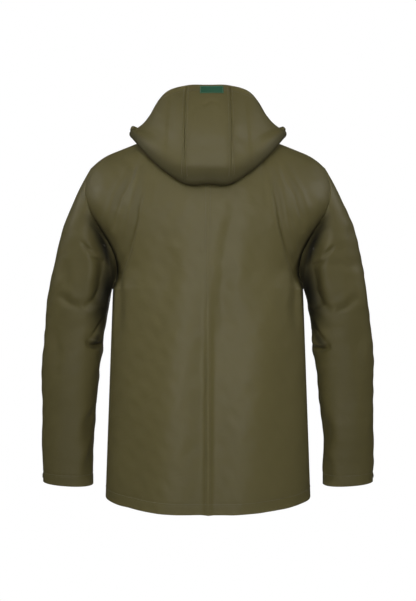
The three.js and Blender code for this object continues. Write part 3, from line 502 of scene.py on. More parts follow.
def settle_body(face, q, v, side, centre_x):
    """Points of the folded body cloth on one side."""
    q = np.asarray(q, float)
    v = np.asarray(v, float)
    plain = body_point(face, q, v, centre_x)
    x, y, z = plain[..., 0], plain[..., 1], plain[..., 2]
    normal = surface_normal(face, x, y, z)
    height = back_folds(x, z, side) if face == BACK else front_folds(x, z, side)
    edge = smooth((edge_x(z) - x) / 16)
    top = smooth((top_z(face, q[:, :1]) - z) / 26)
    seam_roll = -0.8 * bump(x - edge_x(z), 5.0)
    point = plain + normal * (height * edge * top + seam_roll * top)[..., None]
    dip = armhole_dip(z) * bump(edge_x(z) - x, 15.0) * smooth((z - ARMPIT[1] - 2) / 30)
    point[..., 1] -= face * dip * (1.0 if face == BACK else 0.6)
    point[..., 0] *= side
    return point


def body_painted_shade(points):
    """Painted shade on the body's cloth down in the armhole fold: how much its colour is darkened where
    shadow falls.
    """
    x, z = np.abs(points[..., 0]), points[..., 2]
    share = smooth((-140 - z) / 70) * smooth((z - ARMPIT[1] + 22) / 22)
    return 0.95 * share * smooth(1 - (edge_x(z) - x) / 11.0)


def sleeve_painted_shade(points, angle):
    """Painted shade on the sleeve beside the armhole, under the arm and in the elbow's notch: how much its
    colour is darkened where shadow falls.
    """
    x, z = np.abs(points[..., 0]), points[..., 2]
    total = np.zeros(np.shape(x))
    for path, width, strength in SLEEVE_PAINTED_SHADE:
        total = np.maximum(total, strength * crease_mask(x, z, path, width))
    return np.clip(total, 0, 1) * lerp(0.6, 1.0, smooth(np.sin(angle) / 0.2))


# Painted shade on the sleeve, darkening its colour where shadow falls: path, half width and strength.
SLEEVE_PAINTED_SHADE = [
    ([(252, -150), (234, -186), (218, -224), (207, -262), (206, -306)], 12.0, 1.0),
    ([(206, -226), (206, -272), (214, -312), (226, -356), (236, -402)], 21.0, 1.0),
    ([(214, -300), (222, -346), (230, -400)], 12.0, 0.9),
    ([(226, -396), (238, -424), (252, -436)], 8.0, 0.85),
    ([(214, -330), (226, -380), (236, -440)], 9.0, 0.8),
]
# Folds on the back half of the sleeve, drawn as seen from behind.
SLEEVE_BACK_LINES = [
    ([(244, -176), (226, -214), (216, -256), (222, -300), (234, -346)], 12.0, 11.5, 4.0, 1.0),
    ([(246, -152), (236, -176), (222, -194), (205, -214)], 6.0, -7.0, 0.0, 1.0),
    ([(262, -214), (254, -226), (240, -236), (226, -236)], 5.0, 3.6, 2.4, -1.0),
    ([(238, -214), (226, -222), (212, -222)], 4.0, 3.0, 2.0, -1.0),
    ([(246, -246), (232, -252), (219, -262)], 4.0, 4.6, 3.2, -1.0),
    ([(318, -322), (290, -343), (268, -350)], 9.0, 2.6, 2.0, -1.0),
    ([(262, -352), (236, -334), (212, -304)], 8.0, 4.2, 3.0, 1.0),
    ([(218, -372), (236, -404), (258, -428)], 5.0, 4.0, 4.5, -1.0),
    ([(222, -432), (240, -434), (258, -427)], 6.0, 7.5, 4.0, 1.0),
    ([(300, -250), (296, -300), (304, -350)], 12.0, 1.8, 1.4, 1.0),
    ([(330, -392), (318, -440), (322, -500)], 10.0, 1.6, 1.4, 1.0),
    ([(236, -560), (252, -590), (262, -640)], 9.0, 2.4, 1.6, 1.0),
    ([(246, -660), (258, -690), (262, -720)], 8.0, 2.0, 1.4, 1.0),
]
SLEEVE_FRONT_LINES = [
    ([(255, -130), (240, -175), (220, -215)], 8.0, 3.0, 2.6, 1.0),
    ([(285, -240), (255, -262), (222, -262)], 7.0, 4.0, 3.0, -1.0),
    ([(300, -330), (262, -352), (220, -330)], 8.0, 3.6, 2.8, 1.0),
    ([(222, -400), (250, -432), (290, -442)], 8.0, 5.0, 3.4, -1.0),
    ([(330, -470), (280, -492), (240, -478)], 9.0, 3.4, 2.4, 1.0),
    ([(245, -560), (275, -590), (330, -596)], 10.0, 2.4, 1.8, -1.0),
]


def sleeve_folds(angle, t, point, side):
    x, z = point[..., 0], point[..., 2]
    behind = smooth(np.sin(angle) / 0.35)
    before = smooth(-np.sin(angle) / 0.35)
    total = np.zeros(np.shape(x))
    tone = 1.0 if side > 0 else 0.9
    shift = 0.0 if side > 0 else 7.0
    for path, width, depth, ridge, lean in SLEEVE_BACK_LINES:
        moved = [(px, pz - shift) for px, pz in path]
        total += tone * behind * crease(x, z, moved, 0.85 * width, depth, ridge, lean)
    for path, width, depth, ridge, lean in SLEEVE_FRONT_LINES:
        total += before * crease(x, z, path, width, depth, ridge, lean)
    fade = smooth((t - 0.06) / 0.1) * smooth((0.985 - t) / 0.06)
    total += fade * (1.5 * waves(angle * 46, z * 0.6, 31 + side, 95) + 0.5 * waves(angle * 46, z, 33 + side,
                                                                                   34))
    cuff_row = 1 - FACING_HEIGHT / (SHOULDER_TIP_Z - CUFF_OUTER[1])
    total -= 0.5 * bump((t - cuff_row) * 690, 1.6)
    return 1.75 * total * smooth(t / 0.03) + 0.25 * puckers(angle * 50, (t - cuff_row) * 690, 35, 9, 7)


def settle_sleeve(angle, t, side):
    angle, t = np.broadcast_arrays(np.asarray(angle, float), np.asarray(t, float))
    plain = sleeve_point(angle, t)
    e = 1e-3
    across = sleeve_point(angle + e, t) - sleeve_point(angle - e, t)
    down = sleeve_point(angle, np.minimum(t + e, 1)) - sleeve_point(angle, np.maximum(t - e, 0))
    normal = unit(np.cross(down, across))
    point = plain + normal * sleeve_folds(angle, t, plain, side)[..., None]
    z = lerp(ARMPIT[1], SHOULDER_TIP_Z, (1 + np.cos(angle)) / 2)
    dip = armhole_dip(z) * smooth((z - ARMPIT[1] - 2) / 30) * bump(t * 700, 26.0)
    behind = np.sin(angle) >= 0
    point[..., 1] -= np.where(behind, dip, -0.6 * dip)
    point[..., 0] *= side
    return point


def hood_folds(place, row, point):
    """Height of the hood's cloth: soft bulges, the pressed turned edge and small wrinkles."""
    x, z = point[..., 0], point[..., 2]
    rise = np.clip(row - RISE, 0, 1)
    wall = smooth((row - 1.9) / 0.4)
    near = bump(place, 1.75)
    total = wall * near * 6.5 * bump(z + 74, 13)
    total -= wall * near * 2.4 * bump(z + 28, 15)
    total -= wall * 2.2 * crease_mask(x, z, [(-22, 62), (-4, 66), (10, 54)], 5)
    total += wall * 1.6 * crease_mask(x, z, [(-24, 54), (-6, 58), (12, 46)], 5)
    total -= wall * 1.8 * crease_mask(x, z, [(18, 66), (34, 40), (36, 10)], 6)
    for centre in (-1.0, 1.0):
        total -= 1.0 * bump((place - centre) * 45, 1.8) * wall
        total += 0.7 * bump((place - centre) * 45 - 4 * centre, 3) * wall
        total += 0.3 * puckers(z, (place - centre) * 45, 43, 9, 9) * wall
    side = smooth((np.abs(place) - 1.6) / 0.8) * wall
    total += side * 3.4 * np.sin(rise * 6.0 + np.abs(place) * 1.2) * smooth((5.4 - np.abs(place)) / 0.8)
    total += wall * 0.9 * waves(x, z, 41, 85) + wall * 0.35 * waves(x, z, 42, 32)
    total -= wall * 11.0 * smooth((np.abs(place) - 1) / 0.8) * np.sin(np.pi * np.clip(rise, 0, 1)) ** 0.7 \
        * smooth((4.6 - np.abs(place)) / 1.6)
    brim = smooth((1 - rise) / 0.06)
    return total * np.where(row >= RISE, brim, 1.0) - 0.5 * bump((1 - rise) * 200 - 12, 1.6) * wall


def crease_mask(x, z, path, width):
    signed, share = path_distance(x, z, path)
    return bump(signed, width) * np.sin(np.pi * np.clip(share, 0, 1)) ** 0.7


def settle_hood(place, row):
    place, row = np.broadcast_arrays(np.asarray(place, float), np.asarray(row, float))
    plain = hood_point(place, row)
    e = 2e-3
    across = hood_point(place + e, row) - hood_point(place - e, row)
    up = hood_point(place, row + e) - hood_point(place, row - e)
    normal = unit(np.cross(up, across))
    return plain + normal * hood_folds(place, row, plain)[..., None]


# ------------------------------------------------------------------ mesh building
def grid_normals(points, wrap, outward):
    """Unit normals of a grid; outward is 1 where across x along already faces out, else -1."""
    if wrap:
        across = np.roll(points, -1, 0) - np.roll(points, 1, 0)
    else:
        across = np.gradient(points, axis=0)
    return unit(np.cross(across, np.gradient(points, axis=1))) * outward


def faces_out(points, wrap, reference):
    """1 if the grid's own normals point away from the reference points, else -1."""
    normal = grid_normals(points, wrap, 1)
    return 1 if np.sum(normal * (points - reference)) > 0 else -1


def arc_lengths(points, wrap):
    """Mean arc length across and along a grid, in metres."""
    ring = np.concatenate([points, points[:1]]) if wrap else points
    across = np.linalg.norm(np.diff(ring, axis=0), axis=-1).mean(1)
    along = np.linalg.norm(np.diff(points, axis=1), axis=-1).mean(0)
    return (np.concatenate([[0], np.cumsum(across)]) / 1000.0,
            np.concatenate([[0], np.cumsum(along)]) / 1000.0)


def finish_mesh(name, vertices, faces, uv=None, edge=None, material=None):
    """Object named for its piece, from points in millimetres."""
    mesh = bpy.data.meshes.new(name)
    mesh.from_pydata(to_frame(vertices).tolist(), [], faces)
    mesh.update()
    if uv is not None:
        layer = mesh.uv_layers.new(name="cloth")
        layer.data.foreach_set("uv", np.asarray(uv, np.float32).ravel())
    if edge is not None:
        attribute = mesh.attributes.new("edge", "FLOAT", "POINT")
        attribute.data.foreach_set("value", np.asarray(edge, np.float32))
    mesh.shade_smooth()
    if material:
        mesh.materials.append(material)
    obj = bpy.data.objects.new(name, mesh)
    bpy.context.scene.collection.objects.link(obj)
    return obj


def cloth(name, points, thick, outward, material, wrap=False, depth=0.0, worn=(), painted_shade=None):
    """Closed sheet of cloth under a grid of points, with rounded cut edges.

    worn lists grid sides whose edge is rubbed: "low" and "high" rows, "first" and "last" columns.
    The painted shade argument is 0 to 1 over the grid, 1 at the bottom of a deep fold, where the cloth's
    colour is darkened to stand in for the shadow there.
    """
    normals = grid_normals(points, wrap, outward)
    outer = points - normals * depth
    inner = outer - normals * thick
    nu, nv = points.shape[:2]
    spans = nu if wrap else nu - 1
    u, v = arc_lengths(points, wrap)
    i, j = (a.ravel() for a in np.meshgrid(np.arange(spans), np.arange(nv - 1), indexing="ij"))

    def vid(a, b):
        return (a % nu) * nv + b

    quads = np.stack([vid(i, j), vid(i + 1, j), vid(i + 1, j + 1), vid(i, j + 1)], 1)
    uvs = np.stack([np.stack([u[a], v[b]], -1) for a, b in ((i, j), (i + 1, j), (i + 1, j + 1), (i, j + 1))],
                   1)
    layer = nu * nv
    faces = [quads, quads[:, ::-1] + layer]
    face_uv = [uvs, uvs[:, ::-1]]
    rows = np.arange(nu)
    if wrap:
        loops = [[(a, 0) for a in rows] + [(nu, 0)], [(a, nv - 1) for a in rows[::-1]] + [(-1, nv - 1)]]
    else:
        loops = [[(a, 0) for a in range(nu)] + [(nu - 1, b) for b in range(1, nv)]
                 + [(a, nv - 1) for a in range(nu - 2, -1, -1)] + [(0, b) for b in range(nv - 2, -1, -1)]]
    middles = []
    for loop in loops:
        a, b = np.array(loop).T
        here = vid(a, b)
        inside = vid(a if wrap else np.clip(a, 1, nu - 2), np.clip(b, 1, nv - 2))
        flat_outer, flat_inner = outer.reshape(-1, 3), inner.reshape(-1, 3)
        out = unit(flat_outer[here] - flat_outer[inside])
        middle = (flat_outer[here] + flat_inner[here]) / 2 + out * thick * 0.42
        first = 2 * layer + sum(len(m) for m in middles)
        middles.append(middle[:-1])
        count = len(loop) - 1
        k = np.arange(count)
        k1 = (k + 1) % count
        mids, mids1 = first + k, first + k1
        o, o1 = here[:-1], here[1:]
        faces += [np.stack([o1, o, mids, mids1], 1), np.stack([mids1, mids, o + layer, o1 + layer], 1)]
        uu = u[np.clip(a, 0, len(u) - 1)]
        pair = np.stack([uu, v[b]], -1)
        strip = np.stack([pair[1:], pair[:-1], pair[:-1], pair[1:]], 1)
        face_uv += [strip, strip]
    faces = np.concatenate(faces)
    face_uv = np.concatenate(face_uv)
    if outward < 0:
        faces, face_uv = faces[:, ::-1], face_uv[:, ::-1]
    rub = np.zeros((nu, nv))
    reach = 0.007
    if "low" in worn:
        rub = np.maximum(rub, np.exp(-(v / reach) ** 2)[None, :])
    if "high" in worn:
        rub = np.maximum(rub, np.exp(-((v[-1] - v) / reach) ** 2)[None, :])
    if "first" in worn:
        rub = np.maximum(rub, np.exp(-(u[:nu] / reach) ** 2)[:, None])
    if "last" in worn:
        rub = np.maximum(rub, np.exp(-((u[nu - 1] - u[:nu]) / reach) ** 2)[:, None])
    vertices = np.concatenate([outer.reshape(-1, 3), inner.reshape(-1, 3)] + middles)
    rim = np.concatenate([[rub.ravel()[vid(a, b)] for a, b in loop[:-1]] for loop in loops])
    edge = np.concatenate([rub.ravel(), rub.ravel(), rim])
    piece = finish_mesh(name, vertices, faces.tolist(), face_uv.reshape(-1, 2), edge, material)
    # Painted shade: stored as a point attribute that darkens the cloth's colour in deep folds.
    if painted_shade is not None:
        painted_shadow = np.broadcast_to(painted_shade, (nu, nv)).ravel()
        around = np.concatenate([[painted_shadow[vid(a, b)] for a, b in loop[:-1]] for loop in loops])
        attribute = piece.data.attributes.new("painted_shade", "FLOAT", "POINT")
        attribute.data.foreach_set("value", np.concatenate([painted_shadow, painted_shadow, around]).astype(np.float32))
    return piece


def keep(piece, body, slot, *nodes):
    """Puts a finished piece on its body and in place of its CAD nodes; slot is not used."""
    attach(piece, body)
    if nodes:
        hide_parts(*nodes)
    return piece


# ------------------------------------------------------------------ materials
def new_group(name, inputs, outputs):
    tree = bpy.data.node_groups.new(name, "ShaderNodeTree")
    for label, kind, value in inputs:
        socket = tree.interface.new_socket(label, in_out="INPUT", socket_type=kind)
        if value is not None:
            socket.default_value = value
    for label, kind in outputs:
        tree.interface.new_socket(label, in_out="OUTPUT", socket_type=kind)
    return tree, tree.nodes.new("NodeGroupInput"), tree.nodes.new("NodeGroupOutput")


def node(tree, kind, inputs=None, **settings):
    made = tree.nodes.new(kind)
    for key, value in settings.items():
        setattr(made, key, value)
    for key, value in (inputs or {}).items():
        if isinstance(value, bpy.types.NodeSocket):
            tree.links.new(value, made.inputs[key])
        else:
            made.inputs[key].default_value = value
    return made


def maths(tree, operation, a, b=None, c=None):
    values = {i: value for i, value in enumerate((a, b, c)) if value is not None}
    return node(tree, "ShaderNodeMath", values, operation=operation).outputs[0]


FLOAT, VECTOR = "NodeSocketFloat", "NodeSocketVector"


def weave_group():
    """Plain weave on a piece's own UV map: thread height and a mask of the threads on top."""
    tree, inp, out = new_group("plain_weave", [("Threads per metre", FLOAT, 900.0), ("UV", VECTOR, None)],
                               [("Height", FLOAT), ("Top thread", FLOAT)])
    scaled = node(tree, "ShaderNodeVectorMath", {0: inp.outputs["UV"]}, operation="SCALE")
    tree.links.new(inp.outputs["Threads per metre"], scaled.inputs["Scale"])
    split = node(tree, "ShaderNodeSeparateXYZ", {0: scaled.outputs[0]})
    warp = maths(tree, "SINE", maths(tree, "MULTIPLY", split.outputs[0], math.pi))
    weft = maths(tree, "SINE", maths(tree, "MULTIPLY", split.outputs[1], math.pi))
    product = maths(tree, "MULTIPLY", warp, weft)
    crossing = maths(tree, "ABSOLUTE", product)
    tree.links.new(maths(tree, "SQRT", crossing), out.inputs["Height"])
    tree.links.new(maths(tree, "GREATER_THAN", product, 0.0), out.inputs["Top thread"])
    return tree


def mottle_group():
    """Uneven dye and handling: two sizes of soft patches on object coordinates."""
    tree, inp, out = new_group("cloth_mottle", [("Patch scale", FLOAT, 14.0), ("Detail scale", FLOAT, 90.0)],
                               [("Patches", FLOAT), ("Detail", FLOAT)])
    place = node(tree, "ShaderNodeTexCoord").outputs["Object"]
    wide = node(tree, "ShaderNodeTexNoise", {"Vector": place, "Scale": inp.outputs["Patch scale"],
                                             "Detail": 3.0, "Roughness": 0.55})
    fine = node(tree, "ShaderNodeTexNoise", {"Vector": place, "Scale": inp.outputs["Detail scale"],
                                             "Detail": 2.0, "Roughness": 0.6})
    tree.links.new(wide.outputs["Fac"], out.inputs["Patches"])
    tree.links.new(fine.outputs["Fac"], out.inputs["Detail"])
    return tree


def wear_group():
    """Rubbing along free edges, broken up by fine grain; the edge attribute marks where."""
    tree, inp, out = new_group("edge_wear", [("Amount", FLOAT, 0.5), ("Grain scale", FLOAT, 260.0)],
                               [("Wear", FLOAT)])
    edge = node(tree, "ShaderNodeAttribute", attribute_name="edge").outputs["Fac"]
    place = node(tree, "ShaderNodeTexCoord").outputs["Object"]
    grain = node(tree, "ShaderNodeTexNoise", {"Vector": place, "Scale": inp.outputs["Grain scale"],
                                              "Detail": 2.0})
    broken = node(tree, "ShaderNodeMapRange", {"Value": grain.outputs["Fac"], "From Min": 0.35,
                                               "From Max": 0.65})
    worn = maths(tree, "MULTIPLY", edge, broken.outputs["Result"])
    tree.links.new(maths(tree, "MULTIPLY", worn, inp.outputs["Amount"]), out.inputs["Wear"])
    return tree


def group(tree, shared, **inputs):
    made = tree.nodes.new("ShaderNodeGroup")
    made.node_tree = bpy.data.node_groups[shared]
    for key, value in inputs.items():
        socket = made.inputs[key.replace("_", " ")]
        if isinstance(value, bpy.types.NodeSocket):
            tree.links.new(value, socket)
        else:
            socket.default_value = value
    return made


def bare_material(name):
    made = bpy.data.materials.new(name)
    made.use_nodes = True
    tree = made.node_tree
    shader = tree.nodes["Principled BSDF"]
    return made, tree, shader


def mix(tree, share, a, b, blend="MIX"):
    made = node(tree, "ShaderNodeMix", data_type="RGBA", blend_type=blend)
    for index, value in ((0, share), (6, a), (7, b)):
        if isinstance(value, bpy.types.NodeSocket):
            tree.links.new(value, made.inputs[index])
        else:
            made.inputs[index].default_value = value
    return made.outputs[2]


def shade(colour, factor):
    return tuple(min(1.0, c * factor) for c in colour[:3]) + (1.0,)


def woven_material(name, colour, threads, rough, spread, weave_depth, crumple, worn, sheen=0.0, coat=0.0):
    """Cloth: weave and crumple in the bump, patches in the dye, rubbed edges lighter and duller, and painted
    shade that darkens the colour in deep folds.
    """
    made, tree, shader = bare_material(name)
    uv = node(tree, "ShaderNodeTexCoord").outputs["UV"]
    weave = group(tree, "plain_weave", Threads_per_metre=threads, UV=uv)
    mottle = group(tree, "cloth_mottle", Patch_scale=9.0, Detail_scale=70.0)
    wear = group(tree, "edge_wear", Amount=worn)
    dye = mix(tree, mottle.outputs["Patches"], shade(colour, 1 - spread), shade(colour, 1 + spread))
    thread = mix(tree, maths(tree, "MULTIPLY", weave.outputs["Top thread"], 0.05), dye, shade(colour, 1.3))
    edged = mix(tree, wear.outputs["Wear"], thread, shade(colour, 1.7))
    # Painted shade: the attribute darkens the base colour towards black in deep folds, standing in for their
    # shadow.
    painted_shadow = node(tree, "ShaderNodeAttribute", attribute_name="painted_shade")
    painted_shade_colour = mix(tree, painted_shadow.outputs["Fac"], edged, shade(colour, 0.06))
    tree.links.new(painted_shade_colour, shader.inputs["Base Color"])
    low = maths(tree, "MULTIPLY_ADD", mottle.outputs["Detail"], 0.1, rough - 0.05)
    rubbed = maths(tree, "MULTIPLY_ADD", wear.outputs["Wear"], 0.2, low)
    tree.links.new(maths(tree, "MULTIPLY_ADD", painted_shadow.outputs["Fac"], 0.4, rubbed),
                   shader.inputs["Roughness"])
    place = node(tree, "ShaderNodeTexCoord").outputs["Object"]
    soft = node(tree, "ShaderNodeTexNoise", {"Vector": place, "Scale": 34.0, "Detail": 3.0, "Roughness": 0.5,
                                             "Distortion": 0.6})
    creases = node(tree, "ShaderNodeBump", {"Height": soft.outputs["Fac"], "Strength": 1.0,
                                            "Distance": crumple})
    fine = node(tree, "ShaderNodeBump", {"Height": weave.outputs["Height"], "Strength": 1.0,
                                         "Distance": weave_depth, "Normal": creases.outputs["Normal"]})
    tree.links.new(fine.outputs["Normal"], shader.inputs["Normal"])
    shader.inputs["Specular IOR Level"].default_value = 0.28
    shader.inputs["Sheen Weight"].default_value = sheen
    shader.inputs["Sheen Roughness"].default_value = 0.4
    shader.inputs["Coat Weight"].default_value = coat
    shader.inputs["Coat Roughness"].default_value = 0.42
    return made


def metal_material(name, colour, rough):
    made, tree, shader = bare_material(name)
    mottle = group(tree, "cloth_mottle", Patch_scale=120.0, Detail_scale=900.0)
    tone = mix(tree, mottle.outputs["Patches"], shade(colour, 0.82), shade(colour, 1.08))
    tree.links.new(tone, shader.inputs["Base Color"])
    shader.inputs["Metallic"].default_value = 1.0
    tree.links.new(maths(tree, "MULTIPLY_ADD", mottle.outputs["Detail"], 0.24, rough - 0.12),
                   shader.inputs["Roughness"])
    scratches = node(tree, "ShaderNodeBump", {"Height": mottle.outputs["Detail"], "Strength": 0.4,
                                              "Distance": 0.00004})
    tree.links.new(scratches.outputs["Normal"], shader.inputs["Normal"])
    return made


def thread_material(name, colour):
    """Twisted sewing thread."""
    made, tree, shader = bare_material(name)
    mottle = group(tree, "cloth_mottle", Patch_scale=60.0, Detail_scale=1600.0)
    tone = mix(tree, mottle.outputs["Detail"], shade(colour, 0.75), shade(colour, 1.25))
    tree.links.new(tone, shader.inputs["Base Color"])
    rough = maths(tree, "MULTIPLY_ADD", mottle.outputs["Patches"], 0.2, 0.45)
    tree.links.new(rough, shader.inputs["Roughness"])
    twist = node(tree, "ShaderNodeBump", {"Height": mottle.outputs["Detail"], "Strength": 0.6,
                                          "Distance": 0.0001})
    tree.links.new(twist.outputs["Normal"], shader.inputs["Normal"])
    shader.inputs["Sheen Weight"].default_value = 0.3
    return made


def label_material(name, ground, band):
    """Woven label: dense ribbed ground with a lighter plain band along its lower edge."""
    made, tree, shader = bare_material(name)
    uv = node(tree, "ShaderNodeTexCoord").outputs["UV"]
    weave = group(tree, "plain_weave", Threads_per_metre=1500.0, UV=uv)
    mottle = group(tree, "cloth_mottle", Patch_scale=80.0, Detail_scale=700.0)
    split = node(tree, "ShaderNodeSeparateXYZ", {0: uv})
    inside = maths(tree, "COMPARE", split.outputs[1], 0.0055, 0.0022)
    dye = mix(tree, mottle.outputs["Detail"], shade(ground, 0.75), shade(ground, 1.3))
    striped = mix(tree, maths(tree, "MULTIPLY", inside, 0.8), dye, shade(band, 1.0))
    thread = mix(tree, maths(tree, "MULTIPLY", weave.outputs["Top thread"], 0.25), striped,
                 shade(ground, 1.8))
    tree.links.new(thread, shader.inputs["Base Color"])
    tree.links.new(maths(tree, "MULTIPLY_ADD", mottle.outputs["Detail"], 0.2, 0.45),
                   shader.inputs["Roughness"])
    ribs = node(tree, "ShaderNodeBump", {"Height": weave.outputs["Height"], "Strength": 1.0,
                                         "Distance": 0.00015})
    tree.links.new(ribs.outputs["Normal"], shader.inputs["Normal"])
    shader.inputs["Sheen Weight"].default_value = 0.2
    return made


def floor_material(colour):
    made, tree, shader = bare_material("pale_floor")
    mottle = group(tree, "cloth_mottle", Patch_scale=2.0, Detail_scale=30.0)
    tone = mix(tree, mottle.outputs["Patches"], shade(colour, 0.985), shade(colour, 1.0))
    tree.links.new(tone, shader.inputs["Base Color"])
    tree.links.new(maths(tree, "MULTIPLY_ADD", mottle.outputs["Detail"], 0.05, 0.7),
                   shader.inputs["Roughness"])
    seen = node(tree, "ShaderNodeLightPath").outputs["Is Camera Ray"]
    pale = node(tree, "ShaderNodeEmission", {"Color": (*colour, 1), "Strength": 1.0})
    both = node(tree, "ShaderNodeMixShader", {0: maths(tree, "MULTIPLY", seen, 0.8), 1: shader.outputs[0],
                                              2: pale.outputs[0]})
    out = next(n for n in tree.nodes if n.bl_idname == "ShaderNodeOutputMaterial")
    tree.links.new(both.outputs[0], out.inputs["Surface"])
    return made


def material(name):
    """A finish by name; the material operator has made them all."""
    found = bpy.data.materials.get(name)
    if found is None:
        raise RuntimeError(f"the finish {name} is missing: run the finishes operator first")
    return found


# ------------------------------------------------------------------ geometry nodes
def repeat_tree():
    """Copies one small item along a line at an even pitch, turned to follow the line."""
    tree = bpy.data.node_groups.new("items_along_line", "GeometryNodeTree")
    face = tree.interface
    face.new_socket("Geometry", in_out="INPUT", socket_type="NodeSocketGeometry")
    for label, kind in (("Pitch", FLOAT), ("Item scale", VECTOR), ("Start", FLOAT)):
        face.new_socket(label, in_out="INPUT", socket_type=kind)
    face.new_socket("Item", in_out="INPUT", socket_type="NodeSocketObject")
    face.new_socket("Finish", in_out="INPUT", socket_type="NodeSocketMaterial")
    face.new_socket("Geometry", in_out="OUTPUT", socket_type="NodeSocketGeometry")
    inp, out = tree.nodes.new("NodeGroupInput"), tree.nodes.new("NodeGroupOutput")
    curve = node(tree, "GeometryNodeMeshToCurve", {"Mesh": inp.outputs["Geometry"]})
    normal = node(tree, "GeometryNodeInputNamedAttribute", {"Name": "up"}, data_type="FLOAT_VECTOR")
    trimmed = node(tree, "GeometryNodeTrimCurve", {0: curve.outputs[0]}, mode="LENGTH")
    tree.links.new(inp.outputs["Start"], trimmed.inputs[4])
    trimmed.inputs[5].default_value = 100.0
    points = node(tree, "GeometryNodeResampleCurve", {0: trimmed.outputs[0]}, mode="LENGTH")
    tree.links.new(inp.outputs["Pitch"], points.inputs["Length"])
    tangent = node(tree, "GeometryNodeInputTangent")
    item = node(tree, "GeometryNodeObjectInfo", {"Object": inp.outputs["Item"], "As Instance": True})
    along = node(tree, "FunctionNodeAlignRotationToVector", {"Vector": tangent.outputs[0]}, axis="X")
    upright = node(tree, "FunctionNodeAlignRotationToVector",
                   {"Rotation": along.outputs[0], "Vector": normal.outputs[0]}, axis="Z", pivot_axis="X")
    placed = node(tree, "GeometryNodeInstanceOnPoints",
                  {"Points": points.outputs[0], "Instance": item.outputs["Geometry"],
                   "Rotation": upright.outputs[0], "Scale": inp.outputs["Item scale"]})
    solid = node(tree, "GeometryNodeRealizeInstances", {0: placed.outputs[0]})
    dressed = node(tree, "GeometryNodeSetMaterial", {0: solid.outputs[0], "Material": inp.outputs["Finish"]})
    tree.links.new(dressed.outputs[0], out.inputs[0])
    return tree


def items_along(name, lines, item, pitch, scale, finish, start=0.0):
    """Plain mesh of items along lines of (points, ups), both in millimetres, for one body."""
    tree = bpy.data.node_groups.get("items_along_line") or repeat_tree()
    mesh = bpy.data.meshes.new(name + "_line")
    vertices, edges, ups = [], [], []
    for points, up in lines:
        first = len(vertices)
        vertices += to_frame(points).tolist()
        ups += unit(np.asarray(up, float)).tolist()
        edges += [(first + k, first + k + 1) for k in range(len(points) - 1)]
    mesh.from_pydata(vertices, edges, [])
    attribute = mesh.attributes.new("up", "FLOAT_VECTOR", "POINT")
    attribute.data.foreach_set("vector", np.asarray(ups, np.float32).ravel())
    guide = bpy.data.objects.new(name + "_line", mesh)
    bpy.context.scene.collection.objects.link(guide)
    modifier = guide.modifiers.new("repeat", "NODES")
    modifier.node_group = tree
    ids = {s.name: s.identifier for s in tree.interface.items_tree if s.in_out == "INPUT"}
    modifier[ids["Pitch"]] = pitch / 1000.0
    modifier[ids["Item scale"]] = tuple(s / 1000.0 for s in scale)
    modifier[ids["Start"]] = start / 1000.0
    modifier[ids["Item"]] = item
    modifier[ids["Finish"]] = finish
    bpy.context.view_layer.update()
    graph = bpy.context.evaluated_depsgraph_get()
    made = bpy.data.meshes.new_from_object(guide.evaluated_get(graph))
    made.name = name
    if len(made.polygons) == 0:
        raise RuntimeError(f"{name} came out empty")
    made.shade_smooth()
    for extra in [a.name for a in made.attributes if a.name == "up"]:
        made.attributes.remove(made.attributes[extra])
    guide.modifiers.clear()
    bpy.data.objects.remove(guide)
    piece = bpy.data.objects.new(name, made)
    bpy.context.scene.collection.objects.link(piece)
    return piece


def item_object(name, build):
    """Small unlinked object that the repeat tree copies."""
    mesh = bpy.data.meshes.new(name)
    shape = bmesh.new()
    build(shape)
    shape.to_mesh(mesh)
    shape.free()
    mesh.shade_smooth()
    return bpy.data.objects.new(name, mesh)


def build_stitch(shape):
    """One sewn stitch a unit long: a thread that dips into the cloth at both ends."""
    rings = [(-0.5, 0.35, -0.45), (-0.34, 0.85, 0.0), (0.0, 1.0, 0.25), (0.34, 0.85, 0.0), (0.5, 0.35, -0.45)]
    loops = []
    for x, width, lift in rings:
        loops.append([shape.verts.new((x, 0.5 * width * math.cos(a), 0.5 * width * math.sin(a) + lift * 0.5))
                      for a in (2 * math.pi * k / 6 for k in range(6))])
    for low, high in zip(loops[:-1], loops[1:]):
        for k in range(6):
            shape.faces.new((low[k], high[k], high[(k + 1) % 6], low[(k + 1) % 6]))
    shape.faces.new(loops[0])
    shape.faces.new(loops[-1][::-1])
    bmesh.ops.recalc_face_normals(shape, faces=shape.faces)


def stitches(name, lines, finish="sewing_thread"):
    sizes = bpy.context.scene.jacket_sizes
    item = bpy.data.objects.get("stitch_item") or item_object("stitch_item", build_stitch)
    pitch, length, width = (1000 * v for v in (sizes.stitch_pitch, sizes.stitch_length, sizes.stitch_width))
    return items_along(name, lines, item, pitch, (length, width, width), material(finish))


def surface_line(settle, first, second, lift, outward):
    """Points and normals along a path on folded cloth; settle takes both coordinates as arrays."""
    e = 2e-3
    here = settle(first, second)
    across = settle(first + e, second) - settle(first - e, second)
    along = settle(first, second + e) - settle(first, second - e)
    normal = unit(np.cross(across, along)) * outward
    return here + normal * lift, normal


# ------------------------------------------------------------------ user's sizes and colours
def length(name, description, default):
    return FloatProperty(name=name, description=description, default=default, min=0.0, subtype="DISTANCE",
                         unit="LENGTH", precision=5)


def colour(name, description, default):
    return FloatVectorProperty(name=name, description=description, default=default, size=3, min=0.0, max=1.0,
                               subtype="COLOR")


